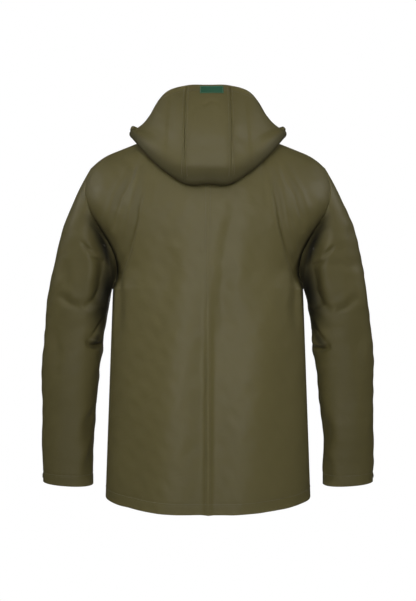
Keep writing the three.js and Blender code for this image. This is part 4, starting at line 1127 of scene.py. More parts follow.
class JacketSizes(bpy.types.PropertyGroup):
    """Sizes that a user would change."""
    shell_thickness: length("Shell", "Thickness of the coated outer cloth at its cut edges", 0.0016)
    lining_thickness: length("Lining", "Thickness of the lining cloth", 0.0008)
    stitch_pitch: length("Stitch pitch", "Distance from one stitch to the next", 0.0034)
    stitch_length: length("Stitch length", "Length of thread that shows in one stitch", 0.0029)
    stitch_width: length("Thread width", "Thickness of the sewing thread", 0.0007)
    tooth_pitch: length("Tooth pitch", "Distance from one zip tooth to the next on one side", 0.0026)
    tooth_height: length("Tooth height", "Height of one zip tooth along the zip", 0.0014)
    floor_drop: length("Floor", "Depth of the floor under the hanging loop", 1.45)
    floor_radius: length("Floor radius", "Radius of the round floor", 1.25)
    round_steps: IntProperty(name="Round steps", description="Sides of the round metal parts", default=40,
                             min=12)


class JacketColours(bpy.types.PropertyGroup):
    """Colours that a user would change, in linear light."""
    shell: colour("Shell", "Olive coated cloth", (0.136, 0.116, 0.044))
    lining: colour("Lining", "Lining cloth", (0.046, 0.042, 0.030))
    thread: colour("Thread", "Sewing thread", (0.120, 0.102, 0.048))
    metal: colour("Metal", "Nickel of the snaps, eyelets and zip", (0.62, 0.60, 0.56))
    tape: colour("Zip tape", "Woven tape of the zip", (0.040, 0.036, 0.022))
    label: colour("Label", "Ground of the woven labels", (0.012, 0.060, 0.030))
    band: colour("Label band", "Light band on the woven labels", (0.150, 0.300, 0.190))
    floor: colour("Floor", "Studio floor", (0.86, 0.86, 0.85))


def thick(kind):
    sizes = bpy.context.scene.jacket_sizes
    return 1000 * (sizes.shell_thickness if kind == "shell" else sizes.lining_thickness)


class JACKET_OT_finishes(bpy.types.Operator):
    """Make the cloth, lining, thread, metal, label and floor finishes"""
    bl_idname = "jacket.finishes"
    bl_label = "Finishes"

    def execute(self, context):
        tints = context.scene.jacket_colours
        weave_group()
        mottle_group()
        wear_group()
        woven_material("coated_cloth", tints.shell, 1150.0, 0.58, 0.06, 0.00003, 0.0009, 0.35, sheen=0.0,
                       coat=0.05)
        woven_material("lining_cloth", tints.lining, 1400.0, 0.5, 0.12, 0.00008, 0.0012, 0.2, sheen=0.2)
        woven_material("zip_tape_cloth", tints.tape, 1300.0, 0.7, 0.15, 0.0002, 0.0003, 0.3)
        thread_material("sewing_thread", tints.thread)
        thread_material("label_thread", tints.band)
        metal_material("brushed_nickel", shade(tints.metal, 0.75), 0.4)
        metal_material("zip_nickel", shade(tints.metal, 0.6), 0.42)
        label_material("woven_label", tints.label, tints.band)
        floor_material(tints.floor)
        return {"FINISHED"}


BODY_COLUMNS, LOW_ROWS, HIGH_ROWS = 84, 128, 92


def even_rows(last, count):
    """Values of v above the armpit that are evenly spaced in height."""
    reach = (1 - math.cos(math.pi * (last - 1))) / 2
    return 1 + np.arccos(1 - 2 * reach * np.linspace(0, 1, count + 1)[1:]) / np.pi


def body_grid(face, side, centre_x, columns=BODY_COLUMNS, low=LOW_ROWS, high=HIGH_ROWS, first=0.0, last=2.0,
              tucked=False):
    """Folded cloth of one body panel; tucked adds the seam allowance that lies under the sleeve."""
    q0 = centre_x / HEM[0] if face == FRONT else 0.0
    s = np.linspace(0, 1, columns)
    q = q0 + (1 - q0) * (0.35 * s + 0.65 * np.sin(s * np.pi / 2))
    v = np.concatenate([np.linspace(first, 1, low), even_rows(last, high)])
    points = settle_body(face, q[:, None], v[None, :], side, centre_x)
    for _ in range(3):
        points[1:-1, -7:] = (points[:-2, -7:] + 2 * points[1:-1, -7:] + points[2:, -7:]) / 4
    out = faces_out(points, False, points * np.array([0, 0, 1.0]))
    if not tucked:
        return points, out
    normal = grid_normals(points, False, out)[-1]
    along = unit(points[-1] - points[-3])
    share = smooth((v - 1) / 0.05)[:, None]
    low_reach = smooth((-200 - points[-1][:, 2]) / 60)[:, None]
    tuck = along * (0.05 + (7 + 9 * low_reach) * share) - normal * (1.8 + low_reach) * share
    return np.concatenate([points, (points[-1] + 0.4 * tuck)[None], (points[-1] + tuck)[None]]), out


class JACKET_OT_body(bpy.types.Operator):
    """Back and front panels with their folds, and the turned hem"""
    bl_idname = "jacket.body"
    bl_label = "Back and front"

    def execute(self, context):
        shell = material("coated_cloth")
        turn = FACING_HEIGHT / (ARMPIT[1] - HEM[1])
        for name, side in SIDES:
            for face, place, centre in ((BACK, "back", SEAM_HALF), (FRONT, "front", ZIP_EDGE_X)):
                points, out = body_grid(face, side, centre, tucked=True)
                worn = ("low",) if face == BACK else ("low", "first")
                # The panel's colour carries painted shade in the armhole fold.
                panel = cloth(f"{place}_cloth_{name}", points, thick("shell"), out, shell, worn=worn,
                              painted_shade=body_painted_shade(points))
                keep(panel, "jacket", "coated_fabric", f"{place}_panel_{name}")
                low = points[:, : int(round(turn * LOW_ROWS)) + 1]
                facing = cloth(f"hem_turn_{place}_{name}", low, 1.4, out, shell, depth=thick("shell") - 0.1,
                               worn=("low",))
                keep(facing, "jacket", "coated_fabric", f"hem_facing_{place}_{name}")
        return {"FINISHED"}


RING_COLUMNS, SLEEVE_ROWS = 120, 224


def sleeve_grid(side, columns=RING_COLUMNS, rows=SLEEVE_ROWS, first=0.0, last=1.0):
    angle = np.linspace(0, 2 * np.pi, columns, endpoint=False)[:, None]
    t = np.linspace(first, last, rows)[None, :]
    points = settle_sleeve(angle, t, side)
    middle = points.mean(0, keepdims=True) + 0 * points
    return points, faces_out(points, True, middle)


class JACKET_OT_sleeves(bpy.types.Operator):
    """Sleeves with their folds and turned cuffs"""
    bl_idname = "jacket.sleeves"
    bl_label = "Sleeves"

    def execute(self, context):
        shell = material("coated_cloth")
        cuff = 1 - FACING_HEIGHT / (SHOULDER_TIP_Z - CUFF_OUTER[1])
        for name, side in SIDES:
            points, out = sleeve_grid(side)
            angle = np.linspace(0, 2 * np.pi, len(points), endpoint=False)[:, None]
            # The sleeve's colour carries painted shade beside the armhole, under the arm and at the elbow.
            sleeve = cloth(f"sleeve_cloth_{name}", points, thick("shell"), out, shell, wrap=True,
                           worn=("high",),
                           painted_shade=sleeve_painted_shade(points, angle))
            keep(sleeve, "jacket", "coated_fabric", f"sleeve_{name}")
            points, out = sleeve_grid(side, rows=8, first=cuff)
            facing = cloth(f"cuff_turn_{name}", points, 1.4, out, shell, wrap=True,
                           depth=thick("shell") - 0.1,
                           worn=("high",))
            keep(facing, "jacket", "coated_fabric", f"cuff_facing_{name}")
        return {"FINISHED"}


HOOD_SEAM = 0.3 / 45.0


def hood_rows(sole=14, fold=18, rise=66, first=0.0, last=3.0):
    rows = np.concatenate([np.linspace(0, 1, sole), np.linspace(1, 2, fold)[1:], np.linspace(2, 3, rise)[1:]])
    return rows[(rows >= first) & (rows <= last)]


def hood_grid(places, rows):
    points = settle_hood(places[:, None], rows[None, :])
    wall = points[:, -20:]
    return points, faces_out(wall, False, np.array([0.0, 60.0, 40.0]))


class JACKET_OT_hood(bpy.types.Operator):
    """Three-panel hood lying on the back, with its lining"""
    bl_idname = "jacket.hood"
    bl_label = "Hood"

    def execute(self, context):
        shell, lining = material("coated_cloth"), material("lining_cloth")
        rows = hood_rows()
        strip = np.linspace(-1 + HOOD_SEAM, 1 - HOOD_SEAM, 60)
        side = np.linspace(1 + HOOD_SEAM, LAST_STATION, 112)
        for piece, node_name, places in (
                ("hood_middle_cloth", "hood_centre_panel", strip),
                ("hood_side_cloth_left", "hood_side_panel_left", side),
                ("hood_side_cloth_right", "hood_side_panel_right", -side[::-1])):
            points, out = hood_grid(places, rows)
            # Painted shade under the hood's turned edge: the colour there is darkened by half to stand in for
            # its shadow.
            under = smooth((rows - 0.9) / 0.5) * smooth((2.16 - rows) / 0.2)
            panel = cloth(piece, points, thick("shell"), out, shell, worn=("high",),
                          painted_shade=0.5 * under[None, :])
            keep(panel, "jacket", "coated_fabric", node_name)
        places = np.linspace(-LAST_STATION + 0.1, LAST_STATION - 0.1, 110)
        points, out = hood_grid(places, hood_rows(2, 2, 40, 2.05, 2.985))
        inside = cloth("hood_inside_cloth", points, thick("lining"), out, lining, depth=thick("shell") + 0.2)
        keep(inside, "jacket", "lining_fabric", "hood_lining")
        return {"FINISHED"}


def neck_loop(angles, rises):
    """Points of the standing collar; angle 0 at the nape, half a turn at the zip."""
    share = np.abs(angles) / np.pi
    x = NECK_X * np.sin(share * np.pi)
    back = share <= 0.5
    y = np.where(back, neck_y(BACK, x), neck_y(FRONT, x))
    z = np.where(back, neck_z(BACK, x), neck_z(FRONT, x))
    reach = np.linspace(-0.5, 0.5, 21)
    near = np.abs(np.abs(angles)[:, None] + reach[None, :]) / np.pi
    near_x = NECK_X * np.sin(near * np.pi)
    near_z = np.where(near <= 0.5, neck_z(BACK, near_x), neck_z(FRONT, np.minimum(near_x, NECK_X)))
    weight = np.exp(-(reach / 0.22) ** 2)
    eased = (near_z * weight).sum(1) / weight.sum()
    ease = smooth((rises - 4) / 30)[None, :] * smooth((np.pi - np.abs(angles)) / 0.9)[:, None]
    z = (z[:, None] + (eased - z)[:, None] * ease)
    scale = 1 - COLLAR_TAPER * rises[None, :] / COLLAR_HEIGHT
    return np.stack([(np.sign(angles) * x)[:, None] * scale, y[:, None] * scale, z + rises[None, :]], -1)


def collar_grid(front_x, columns, rises):
    end = np.pi - math.asin(front_x / NECK_X)
    angles = np.linspace(-end, end, columns)
    points = neck_loop(angles, rises)
    settle = smooth(rises / 20)[None, :] * smooth((end - np.abs(angles)) / 0.3)[:, None]
    wave = 1.3 * waves(angles[:, None] * 90, rises[None, :], 51, 70) + 0.5 * waves(angles[:, None] * 90,
                                                                                   rises[None, :], 52, 26)
    flat = points.copy()
    flat[..., 2] = 0
    points = points + unit(flat) * (wave * settle)[..., None]
    middle = points * np.array([0, 0, 1.0])
    return points, faces_out(points, False, middle)


class JACKET_OT_collar(bpy.types.Operator):
    """Standing collar, its lining and the neck label"""
    bl_idname = "jacket.collar"
    bl_label = "Collar"

    def execute(self, context):
        points, out = collar_grid(ZIP_EDGE_X, 190, np.linspace(2.8, COLLAR_HEIGHT, 26))
        outer = cloth("collar_cloth", points, thick("shell") + 0.9, out, material("coated_cloth"), depth=0.6,
                      worn=("high", "first", "last"))
        keep(outer, "jacket", "coated_fabric", "collar_outer")
        points, out = collar_grid(17.0, 150, np.linspace(2.8, COLLAR_HEIGHT - 1.5, 20))
        inner = cloth("collar_lining_cloth", points, 1.0, out, material("lining_cloth"), depth=3.0)
        keep(inner, "jacket", "lining_fabric", "collar_inner")
        half = math.asin(20.0 / NECK_X)
        points = neck_loop(np.linspace(-half, half, 24), np.linspace(26, 44, 12))
        label = cloth("neck_label_cloth", points, 0.7, out, material("woven_label"), depth=4.3)
        keep(label, "jacket", "woven_label", "neck_label")
        return {"FINISHED"}


class JACKET_OT_linings(bpy.types.Operator):
    """Linings of the body and the sleeves, and the pocket bags"""
    bl_idname = "jacket.linings"
    bl_label = "Linings"

    def execute(self, context):
        lining = material("lining_cloth")
        start = (FACING_HEIGHT + 1) / (ARMPIT[1] - HEM[1])
        for name, side in SIDES:
            for face, place, centre, depth, last in ((BACK, "back", SEAM_HALF, 2.2, 1.985),
                                                     (FRONT, "front", 16.0, 4.6, 1.93)):
                points, out = body_grid(face, side, centre, 44, 70, 50, start, last)
                piece = cloth(f"lining_cloth_{place}_{name}", points, thick("lining"), out, lining,
                              depth=depth)
                keep(piece, "jacket", "lining_fabric", f"lining_{place}_{name}")
            points, out = sleeve_grid(side, 64, 110, 0.03, 0.972)
            piece = cloth(f"sleeve_lining_cloth_{name}", points, thick("lining"), out, lining, wrap=True,
                          depth=2.2)
            keep(piece, "jacket", "lining_fabric", f"sleeve_lining_{name}")
            half = POCKET_WIDTH / 2 - 4
            points, out = front_patch(POCKET_MIDDLE_X - half, POCKET_MIDDLE_X + half, 30,
                                      np.linspace(POCKET_TOP_Z - POCKET_BAG_DEPTH, POCKET_TOP_Z + 10, 30),
                                      side)
            piece = cloth(f"pocket_bag_cloth_{name}", points, 1.2, out, lining, depth=2.8)
            keep(piece, "jacket", "lining_fabric", f"pocket_bag_{name}")
        return {"FINISHED"}


def on_front(x, z, side, lift=0.0):
    """Points of the front's folded cloth at distances x from the zip line and heights z."""
    x, z = np.broadcast_arrays(np.asarray(x, float), np.asarray(z, float))
    y = surface_y(FRONT, x, z)
    normal = surface_normal(FRONT, x, y, z)
    points = np.stack([x, y, z], -1) + normal * (front_folds(x, z, side) + lift)[..., None]
    points[..., 0] *= side
    normal[..., 0] *= side
    return points, normal


def front_patch(x0, x1, columns, heights, side, lift=0.0):
    points, _ = on_front(np.linspace(x0, x1, columns)[:, None], heights[None, :], side, lift)
    return points, faces_out(points, False, points * np.array([0, 0, 1.0]))


FLAP_CORNER = 9.0
FLAP_BEND = 7.0


def flap_grid(side, inset=0.0, columns=62, rows=34):
    """Pocket flap with rounded lower corners, a little fuller in the middle than at its edges."""
    half = POCKET_WIDTH / 2 - inset
    s = np.linspace(-1, 1, columns)[:, None]
    r = np.linspace(0, 1, rows)[None, :]
    low = POCKET_TOP_Z - POCKET_FLAP_HEIGHT + inset
    corner = FLAP_CORNER * (1 - np.sqrt(np.clip(1 - np.clip((np.abs(s) * half - half + FLAP_CORNER)
                                                             / FLAP_CORNER, 0, 1) ** 2, 0, 1)))
    z = lerp(POCKET_TOP_Z, low + corner, r)
    x = POCKET_MIDDLE_X + s * half + 0 * r
    lift = 1.2 + 1.5 * smooth(r * 3) + 1.0 * (1 - s * s) * r * (1 - r) * 2 + 0.5 * waves(x, z, 61, 60) * r
    points, _ = on_front(x, z, side, lift)
    return points, faces_out(points, False, points * np.array([0, 0, 1.0]))


def flap_ends(side):
    """Where the flap starts and stops bending, just below its seam."""
    x = np.array([POCKET_MIDDLE_X])
    start, _ = on_front(x, np.array([POCKET_TOP_Z]), side, 1.5)
    end, _ = on_front(x, np.array([POCKET_TOP_Z - FLAP_BEND]), side, 1.5)
    return tuple(to_frame(start[0])), tuple(to_frame(end[0]))


def bend_flap(piece, name, side):
    start, end = flap_ends(side)
    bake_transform(piece, "jacket", f"pocket_flap_{name}", start=start, end=end)


class JACKET_OT_pockets(bpy.types.Operator):
    """Pocket flaps that lift, with the welts behind them"""
    bl_idname = "jacket.pockets"
    bl_label = "Pockets"

    def execute(self, context):
        shell = material("coated_cloth")
        for name, side in SIDES:
            points, out = flap_grid(side)
            flap = cloth(f"flap_cloth_{name}", points, thick("shell"), out, shell,
                         depth=-thick("shell") + 0.4,
                         worn=("high", "first", "last"))
            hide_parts(f"pocket_flap_{name}")
            bend_flap(flap, name, side)
            half = POCKET_WIDTH / 2 - 7
            for part, low, high in (("upper", -15.4, -8.0), ("lower", -23.0, -15.8)):
                heights = POCKET_TOP_Z + np.linspace(low, high, 8)
                points, out = front_patch(POCKET_MIDDLE_X - half, POCKET_MIDDLE_X + half, 40, heights, side)
                welt = cloth(f"pocket_welt_{part}_{name}", points, 1.0, out, shell, depth=-0.9,
                             worn=("low", "high"))
                keep(welt, "jacket", "coated_fabric")
        return {"FINISHED"}


# ------------------------------------------------------------------ zip
ZIP_AXIS = np.array([[1.0, 0.0, 0.0],
                     [0.0, 1.0 / math.hypot(1, ZIP_RAKE), -ZIP_RAKE / math.hypot(1, ZIP_RAKE)],
                     [0.0, ZIP_RAKE / math.hypot(1, ZIP_RAKE), 1.0 / math.hypot(1, ZIP_RAKE)]])
ZIP_FOOT = np.array([0.0, -FRONT_DEPTH_HEM, HEM[1]])
TEETH_LOW, TEETH_HIGH = 18.0, ZIP_LENGTH - 10.0
TEETH_DEPTH = (2.0, 5.0)
SLIDER_Z = ZIP_LENGTH - 10.0 - 5.5 - 0.5


def on_zip(points):
    """Zip's own frame (x across, y into the jacket, z up the zip) to the body's millimetres."""
    return np.asarray(points, float) @ ZIP_AXIS + ZIP_FOOT


def ring_plate(shape, outline, y0, y1, chamfer, hole=None):
    """Plate in x and z between two depths, its rim chamfered; hole is an inner outline."""
    def loop(points, inset, y):
        points = np.asarray(points, float)
        middle = points.mean(0)
        pulled = points + (middle - points) * (inset / np.maximum(np.linalg.norm(points - middle, axis=1),
                                                                  1e-6)
                                               )[:, None]
        return [shape.verts.new((x, y, z)) for x, z in pulled]

    stack = [loop(outline, chamfer, y0), loop(outline, 0, y0 + chamfer), loop(outline, 0, y1 - chamfer),
             loop(outline, chamfer, y1)]
    count = len(outline)

    def bridge(a, b):
        for k in range(len(a)):
            n = (k + 1) % len(a)
            shape.faces.new((a[k], a[n], b[n], b[k]))

    for a, b in zip(stack[:-1], stack[1:]):
        bridge(a, b)
    if hole is None:
        shape.faces.new(stack[0])
        shape.faces.new(stack[-1])
        return
    inner = [loop(hole, -chamfer * 0.6, y0), loop(hole, 0, y0 + chamfer * 0.6),
             loop(hole, 0, y1 - chamfer * 0.6),
             loop(hole, -chamfer * 0.6, y1)]
    for a, b in zip(inner[:-1], inner[1:]):
        bridge(a, b)
    if len(hole) != count:
        raise RuntimeError("a plate's hole needs as many points as its outline")
    bridge(stack[0], inner[0])
    bridge(stack[-1], inner[-1])


def rounded(x0, x1, z0, z1, radius, steps=5):
    """Outline of a rectangle with round corners, counter-clockwise in x and z."""
    points = []
    for cx, cz, turn in ((x1 - radius, z0 + radius, -0.5), (x1 - radius, z1 - radius, 0.0),
                         (x0 + radius, z1 - radius, 0.5), (x0 + radius, z0 + radius, 1.0)):
        for k in range(steps + 1):
            a = math.pi * (turn + 0.5 * k / steps)
            points.append((cx + radius * math.cos(a), cz + radius * math.sin(a)))
    return points


def metal_piece(name, build, place, finish, sharp=0.6):
    """Closed metal part built in its own millimetres, then placed; flat faces stay crisp."""
    shape = bmesh.new()
    build(shape)
    bmesh.ops.remove_doubles(shape, verts=shape.verts, dist=1e-4)
    bmesh.ops.recalc_face_normals(shape, faces=shape.faces)
    points = place(np.array([v.co for v in shape.verts], float).reshape(-1, 3))
    for vertex, point in zip(shape.verts, to_frame(points)):
        vertex.co = point
    mesh = bpy.data.meshes.new(name)
    shape.to_mesh(mesh)
    shape.free()
    mesh.shade_smooth()
    mesh.set_sharp_from_angle(angle=sharp)
    mesh.materials.append(material(finish))
    obj = bpy.data.objects.new(name, mesh)
    bpy.context.scene.collection.objects.link(obj)
    return obj


def build_tooth(shape):
    """One zip tooth, a unit wide, deep and high: a clamp on the tape and a rounded head."""
    ring_plate(shape, [(0.0, -0.36), (0.62, -0.36), (0.72, -0.5), (1.0, -0.34), (1.08, 0.0), (1.0, 0.34),
                       (0.72, 0.5), (0.62, 0.36), (0.0, 0.36)], 0.0, 1.0, 0.1)
    bmesh.ops.recalc_face_normals(shape, faces=shape.faces)


def build_slider(shape):
    """Zip slider: two shield-shaped plates on a post, with a bridge for the puller."""
    low, high = SLIDER_Z - 5.5, SLIDER_Z + 5.5
    shield = [(-3.4, low), (3.4, low), (4.3, low + 1.2), (4.6, SLIDER_Z), (5.2, high - 2.6),
              (5.1, high - 0.9),
              (4.2, high), (0.9, high), (0.0, high - 1.1), (-0.9, high), (-4.2, high), (-5.1, high - 0.9),
              (-5.2, high - 2.6), (-4.6, SLIDER_Z), (-4.3, low + 1.2)]
    ring_plate(shape, shield, 0.1, 1.6, 0.4)
    ring_plate(shape, shield, 5.4, 6.9, 0.4)
    ring_plate(shape, rounded(-0.2, 0.2, high - 4.0, high - 1.3, 0.15, 2), 1.4, 5.6, 0.05)
    for x0, x1 in ((-5.2, -4.6), (4.6, 5.2)):
        ring_plate(shape, rounded(x0, x1, SLIDER_Z - 1.0, high - 2.8, 0.2, 2), 1.3, 2.3, 0.1)
    section = [(-3.2, 0.4), (-3.2, -1.6), (-2.5, -2.7), (-1.2, -3.0), (1.2, -3.0), (2.5, -2.7), (3.2, -1.6),
               (3.2, 0.4), (2.2, 0.4), (2.2, -1.3), (1.8, -1.9), (0.9, -2.0), (-0.9, -2.0), (-1.8, -1.9),
               (-2.2, -1.3), (-2.2, 0.4)]
    sides = [[shape.verts.new((x, y, SLIDER_Z + z)) for z, y in section] for x in (-1.5, 1.5)]
    count = len(section)
    for k in range(count):
        n = (k + 1) % count
        shape.faces.new((sides[0][k], sides[0][n], sides[1][n], sides[1][k]))
    for side in sides:
        for k in range(count // 2 - 1):
            shape.faces.new((side[k], side[k + 1], side[count - 2 - k], side[count - 1 - k]))


def build_puller(shape):
    """Flat puller with a slot at its top and pressed grip bars below."""
    y = -0.95
    outline = rounded(-4.2, 4.2, SLIDER_Z - 30.0, SLIDER_Z + 0.6, 1.4, 5)
    slot = rounded(-2.0, 2.0, SLIDER_Z - 5.2, SLIDER_Z - 0.6, 0.9, 5)
    ring_plate(shape, outline, y - 0.6, y + 0.6, 0.25, slot)
    for k in range(5):
        z = SLIDER_Z - 13.0 - 3.0 * k
        ring_plate(shape, rounded(-2.9, 2.9, z - 0.6, z + 0.6, 0.55, 3), y - 0.95, y - 0.5, 0.2)


class JACKET_OT_zip(bpy.types.Operator):
    """Zip tapes, teeth, stops, slider, puller and the placket behind them"""
    bl_idname = "jacket.zip"
    bl_label = "Zip"

    def execute(self, context):
        sizes = context.scene.jacket_sizes
        tooth = item_object("tooth_item", build_tooth)
        finish = material("zip_nickel")
        heights = np.linspace(TEETH_LOW, TEETH_HIGH, 80)
        pitch, tall = 1000 * sizes.tooth_pitch, 1000 * sizes.tooth_height
        for name, side in SIDES:
            start = 0.5 * tall + (0.5 * pitch if side > 0 else 0.0)
            line = on_zip(np.stack([np.full(80, TEETH_X * side), np.full(80, TEETH_DEPTH[0]), heights], -1))
            up = np.tile(on_zip([[0, -1, 0]]) - on_zip([[0, 0, 0]]), (80, 1))
            # Known fault: the tooth is in metres already and the scale is divided by 1000 once more, so the
            # teeth come out 1000 times too small. A scale of 1000.0 each way would correct it.
            teeth = items_along(f"zip_teeth_row_{name}", [(line, up)], zip_item(tooth, side), pitch,
                                (1.0, 1.0, 1.0), finish, start)
            keep(teeth, "jacket", "zip_metal", f"zip_teeth_{name}")
            x = side * np.linspace(2.6, 12.6, 14)
            z = np.linspace(TEETH_LOW - 12, TEETH_HIGH + 5, 120)
            cord = 0.5 * bump(np.abs(x) - 3.2, 0.8)
            grid = np.stack([x[:, None] + 0 * z, 3.1 - cord[:, None] + 0 * z, 0 * x[:, None] + z], -1)
            points = on_zip(grid)
            tape = cloth(f"zip_tape_cloth_{name}", points, 0.8, faces_out(points, False, points + [0, 50, 0]),
                         material("zip_tape_cloth"))
            keep(tape, "jacket", "zip_tape", f"zip_tape_{name}")
            x0, x1 = sorted((0.4 * side, 3.3 * side))
            stop = metal_piece(f"zip_stop_{name}", lambda s, a=x0, b=x1: ring_plate(
                s, rounded(a, b, TEETH_HIGH + 0.3, TEETH_HIGH + 3.3, 0.6, 3), 1.9, 5.0, 0.35), on_zip,
                               "zip_nickel")
            keep(stop, "jacket", "zip_metal", f"zip_top_stop_{name}")
        foot = metal_piece("zip_foot_box", lambda s: ring_plate(
            s, rounded(-3.3, 3.3, 9.0, TEETH_LOW - 0.3, 0.9, 4), 1.8, 5.1, 0.4), on_zip, "zip_nickel")
        keep(foot, "jacket", "zip_metal", "zip_bottom_box")
        slider = metal_piece("zip_slider_body", build_slider, on_zip, "brushed_nickel")
        keep(slider, "zip_slider", "zip_metal", "zip_slider")
        puller = metal_piece("zip_puller_tab", build_puller, on_zip, "brushed_nickel")
        keep(puller, "zip_puller", "zip_metal", "zip_puller")
        x = np.concatenate([np.linspace(-24, 17, 30), [18.5, 19.6, 20.6, 21.8, 24.0]])
        y = np.concatenate([np.full(30, 8.4), [8.3, 8.0, 7.4, 6.95, 6.9]])
        z = np.linspace(FACING_HEIGHT + 5, ZIP_LENGTH - 76, 120)
        sag = 0.5 * waves(x[:, None], z[None, :], 71, 80) * smooth((19 - np.abs(x)) / 8)[:, None]
        grid = np.stack([x[:, None] + 0 * z, y[:, None] + np.abs(sag), 0 * x[:, None] + z], -1)
        points = on_zip(grid)
        placket = cloth("placket_cloth", points, 1.0, faces_out(points, False, points + [0, 50, 0]),
                        material("coated_cloth"), worn=("first", "high"))
        keep(placket, "jacket", "coated_fabric", "zip_placket")
        return {"FINISHED"}


def zip_item(tooth, side):
    """Tooth turned so that its head points at the zip's middle; the line's own x runs up the zip."""
    name = "tooth_left" if side > 0 else "tooth_right"
    mesh = tooth.data.copy()
    tall = bpy.context.scene.jacket_sizes.tooth_height
    across = 1 if side > 0 else -1
    for v in mesh.vertices:
        x, y, z = v.co
        v.co = (z * tall, across * x * TOOTH_WIDTH, -y * TOOTH_DEPTH)
    if across > 0:
        mesh.flip_normals()
    mesh.shade_smooth()
    mesh.set_sharp_from_angle(angle=0.7)
    return bpy.data.objects.new(name, mesh)


# ------------------------------------------------------------------ snaps, eyelets, loop, patch
def seat_of(cad, outward_from):
    """Middle, outward axis and base height on it of a round CAD node, in frame metres."""
    co = np.array([v.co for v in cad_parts[cad].data.vertices], float)
    low, high = co.min(0), co.max(0)
    middle = (low + high) / 2
    _, vectors = np.linalg.eigh(np.cov((co - middle).T))
    axis = vectors[:, 0]
    if np.dot(axis, middle - np.asarray(outward_from)) < 0:
        axis = -axis
    spans = (co - middle) @ axis
    return middle, axis, spans.min()


def lathe_piece(name, cad, profile, outward_from, finish):
    """Round part turned from a profile of (radius, height) in millimetres above the node's base."""
    steps = bpy.context.scene.jacket_sizes.round_steps
    middle, axis, low = seat_of(cad, outward_from)
    turn = Vector((0, 0, 1)).rotation_difference(Vector(axis)).to_matrix()
    shape = bmesh.new()
    rings = []
    for radius, height in profile:
        if radius < 1e-6:
            rings.append([shape.verts.new((0, 0, height))])
        else:
            rings.append([shape.verts.new((radius * math.cos(a), radius * math.sin(a), height))
                          for a in (2 * math.pi * k / steps for k in range(steps))])
    closed = len(rings[0]) > 1
    pairs = list(zip(rings[:-1], rings[1:])) + ([(rings[-1], rings[0])] if closed else [])
    for a, b in pairs:
        for k in range(steps):
            n = (k + 1) % steps
            corners = [a[k % len(a)], a[n % len(a)], b[n % len(b)], b[k % len(b)]]
            unique = list(dict.fromkeys(corners))
            if len(unique) > 2:
                shape.faces.new(unique)
    bmesh.ops.recalc_face_normals(shape, faces=shape.faces)
    base = Vector(middle + axis * low)
    for vertex in shape.verts:
        vertex.co = base + turn @ (vertex.co * 0.001)
    mesh = bpy.data.meshes.new(name)
    shape.to_mesh(mesh)
    shape.free()
    mesh.shade_smooth()
    mesh.set_sharp_from_angle(angle=0.9)
    mesh.materials.append(material(finish))
    obj = bpy.data.objects.new(name, mesh)
    bpy.context.scene.collection.objects.link(obj)
    return obj


def cap_profile(radius):
    """Domed snap cap with a rolled rim and a shallow ring around its middle."""
    r = radius
    return [(0, 0.0), (r * 0.9, 0.0), (r * 0.98, 0.15), (r, 0.5), (r * 0.985, 0.85), (r * 0.93, 1.1),
            (r * 0.86, 1.16),
            (r * 0.8, 1.05), (r * 0.76, 1.02), (r * 0.7, 1.15), (r * 0.6, 1.45), (r * 0.45, 1.75),
            (r * 0.25, 1.93),
            (0, 2.0)]


def stud_profile(radius):
    r = radius
    return [(0, 0.0), (r * 0.92, 0.0), (r, 0.2), (r, 0.45), (r * 0.92, 0.62), (r * 0.66, 0.6), (r * 0.6, 0.4),
            (r * 0.52, 0.4), (r * 0.46, 0.85), (r * 0.36, 1.0), (0, 1.0)]


EYELET_PROFILE = [(2.5, 0.0), (5.0, 0.0), (5.15, 0.18), (5.0, 0.42), (4.4, 0.72), (3.7, 0.86), (3.1, 0.78),
                  (2.65, 0.5), (2.5, 0.2)]


class JACKET_OT_snaps(bpy.types.Operator):
    """Snap caps and studs on the pockets and cuffs, and the hood's eyelets"""
    bl_idname = "jacket.snaps"
    bl_label = "Snaps and eyelets"

    def execute(self, context):
        for name, side in SIDES:
            inside_body = to_frame([side * 60.0, 0.0, -600.0])
            inside_sleeve = to_frame([side * 300.0, -38.0, -724.0])
            inside_hood = to_frame([0.0, -40.0, -20.0])
            for cad, piece, profile, middle, body in (
                    (f"pocket_snap_cap_{name}", f"flap_snap_{name}", cap_profile(6.0), inside_body,
                     f"pocket_flap_{name}"),
                    (f"pocket_snap_stud_{name}", f"flap_stud_{name}", stud_profile(4.5), inside_body,
                     "jacket"),
                    (f"cuff_snap_cap_{name}", f"cuff_snap_{name}", cap_profile(5.5), inside_sleeve, "jacket"),
                    (f"cuff_snap_stud_{name}", f"cuff_stud_{name}", stud_profile(4.5), inside_sleeve,
                     "jacket"),
                    (f"hood_eyelet_{name}", f"hood_ring_{name}", EYELET_PROFILE, inside_hood, "jacket")):
                made = lathe_piece(piece, cad, profile, middle, "brushed_nickel")
                keep(made, body, "snap_metal", cad)
        return {"FINISHED"}


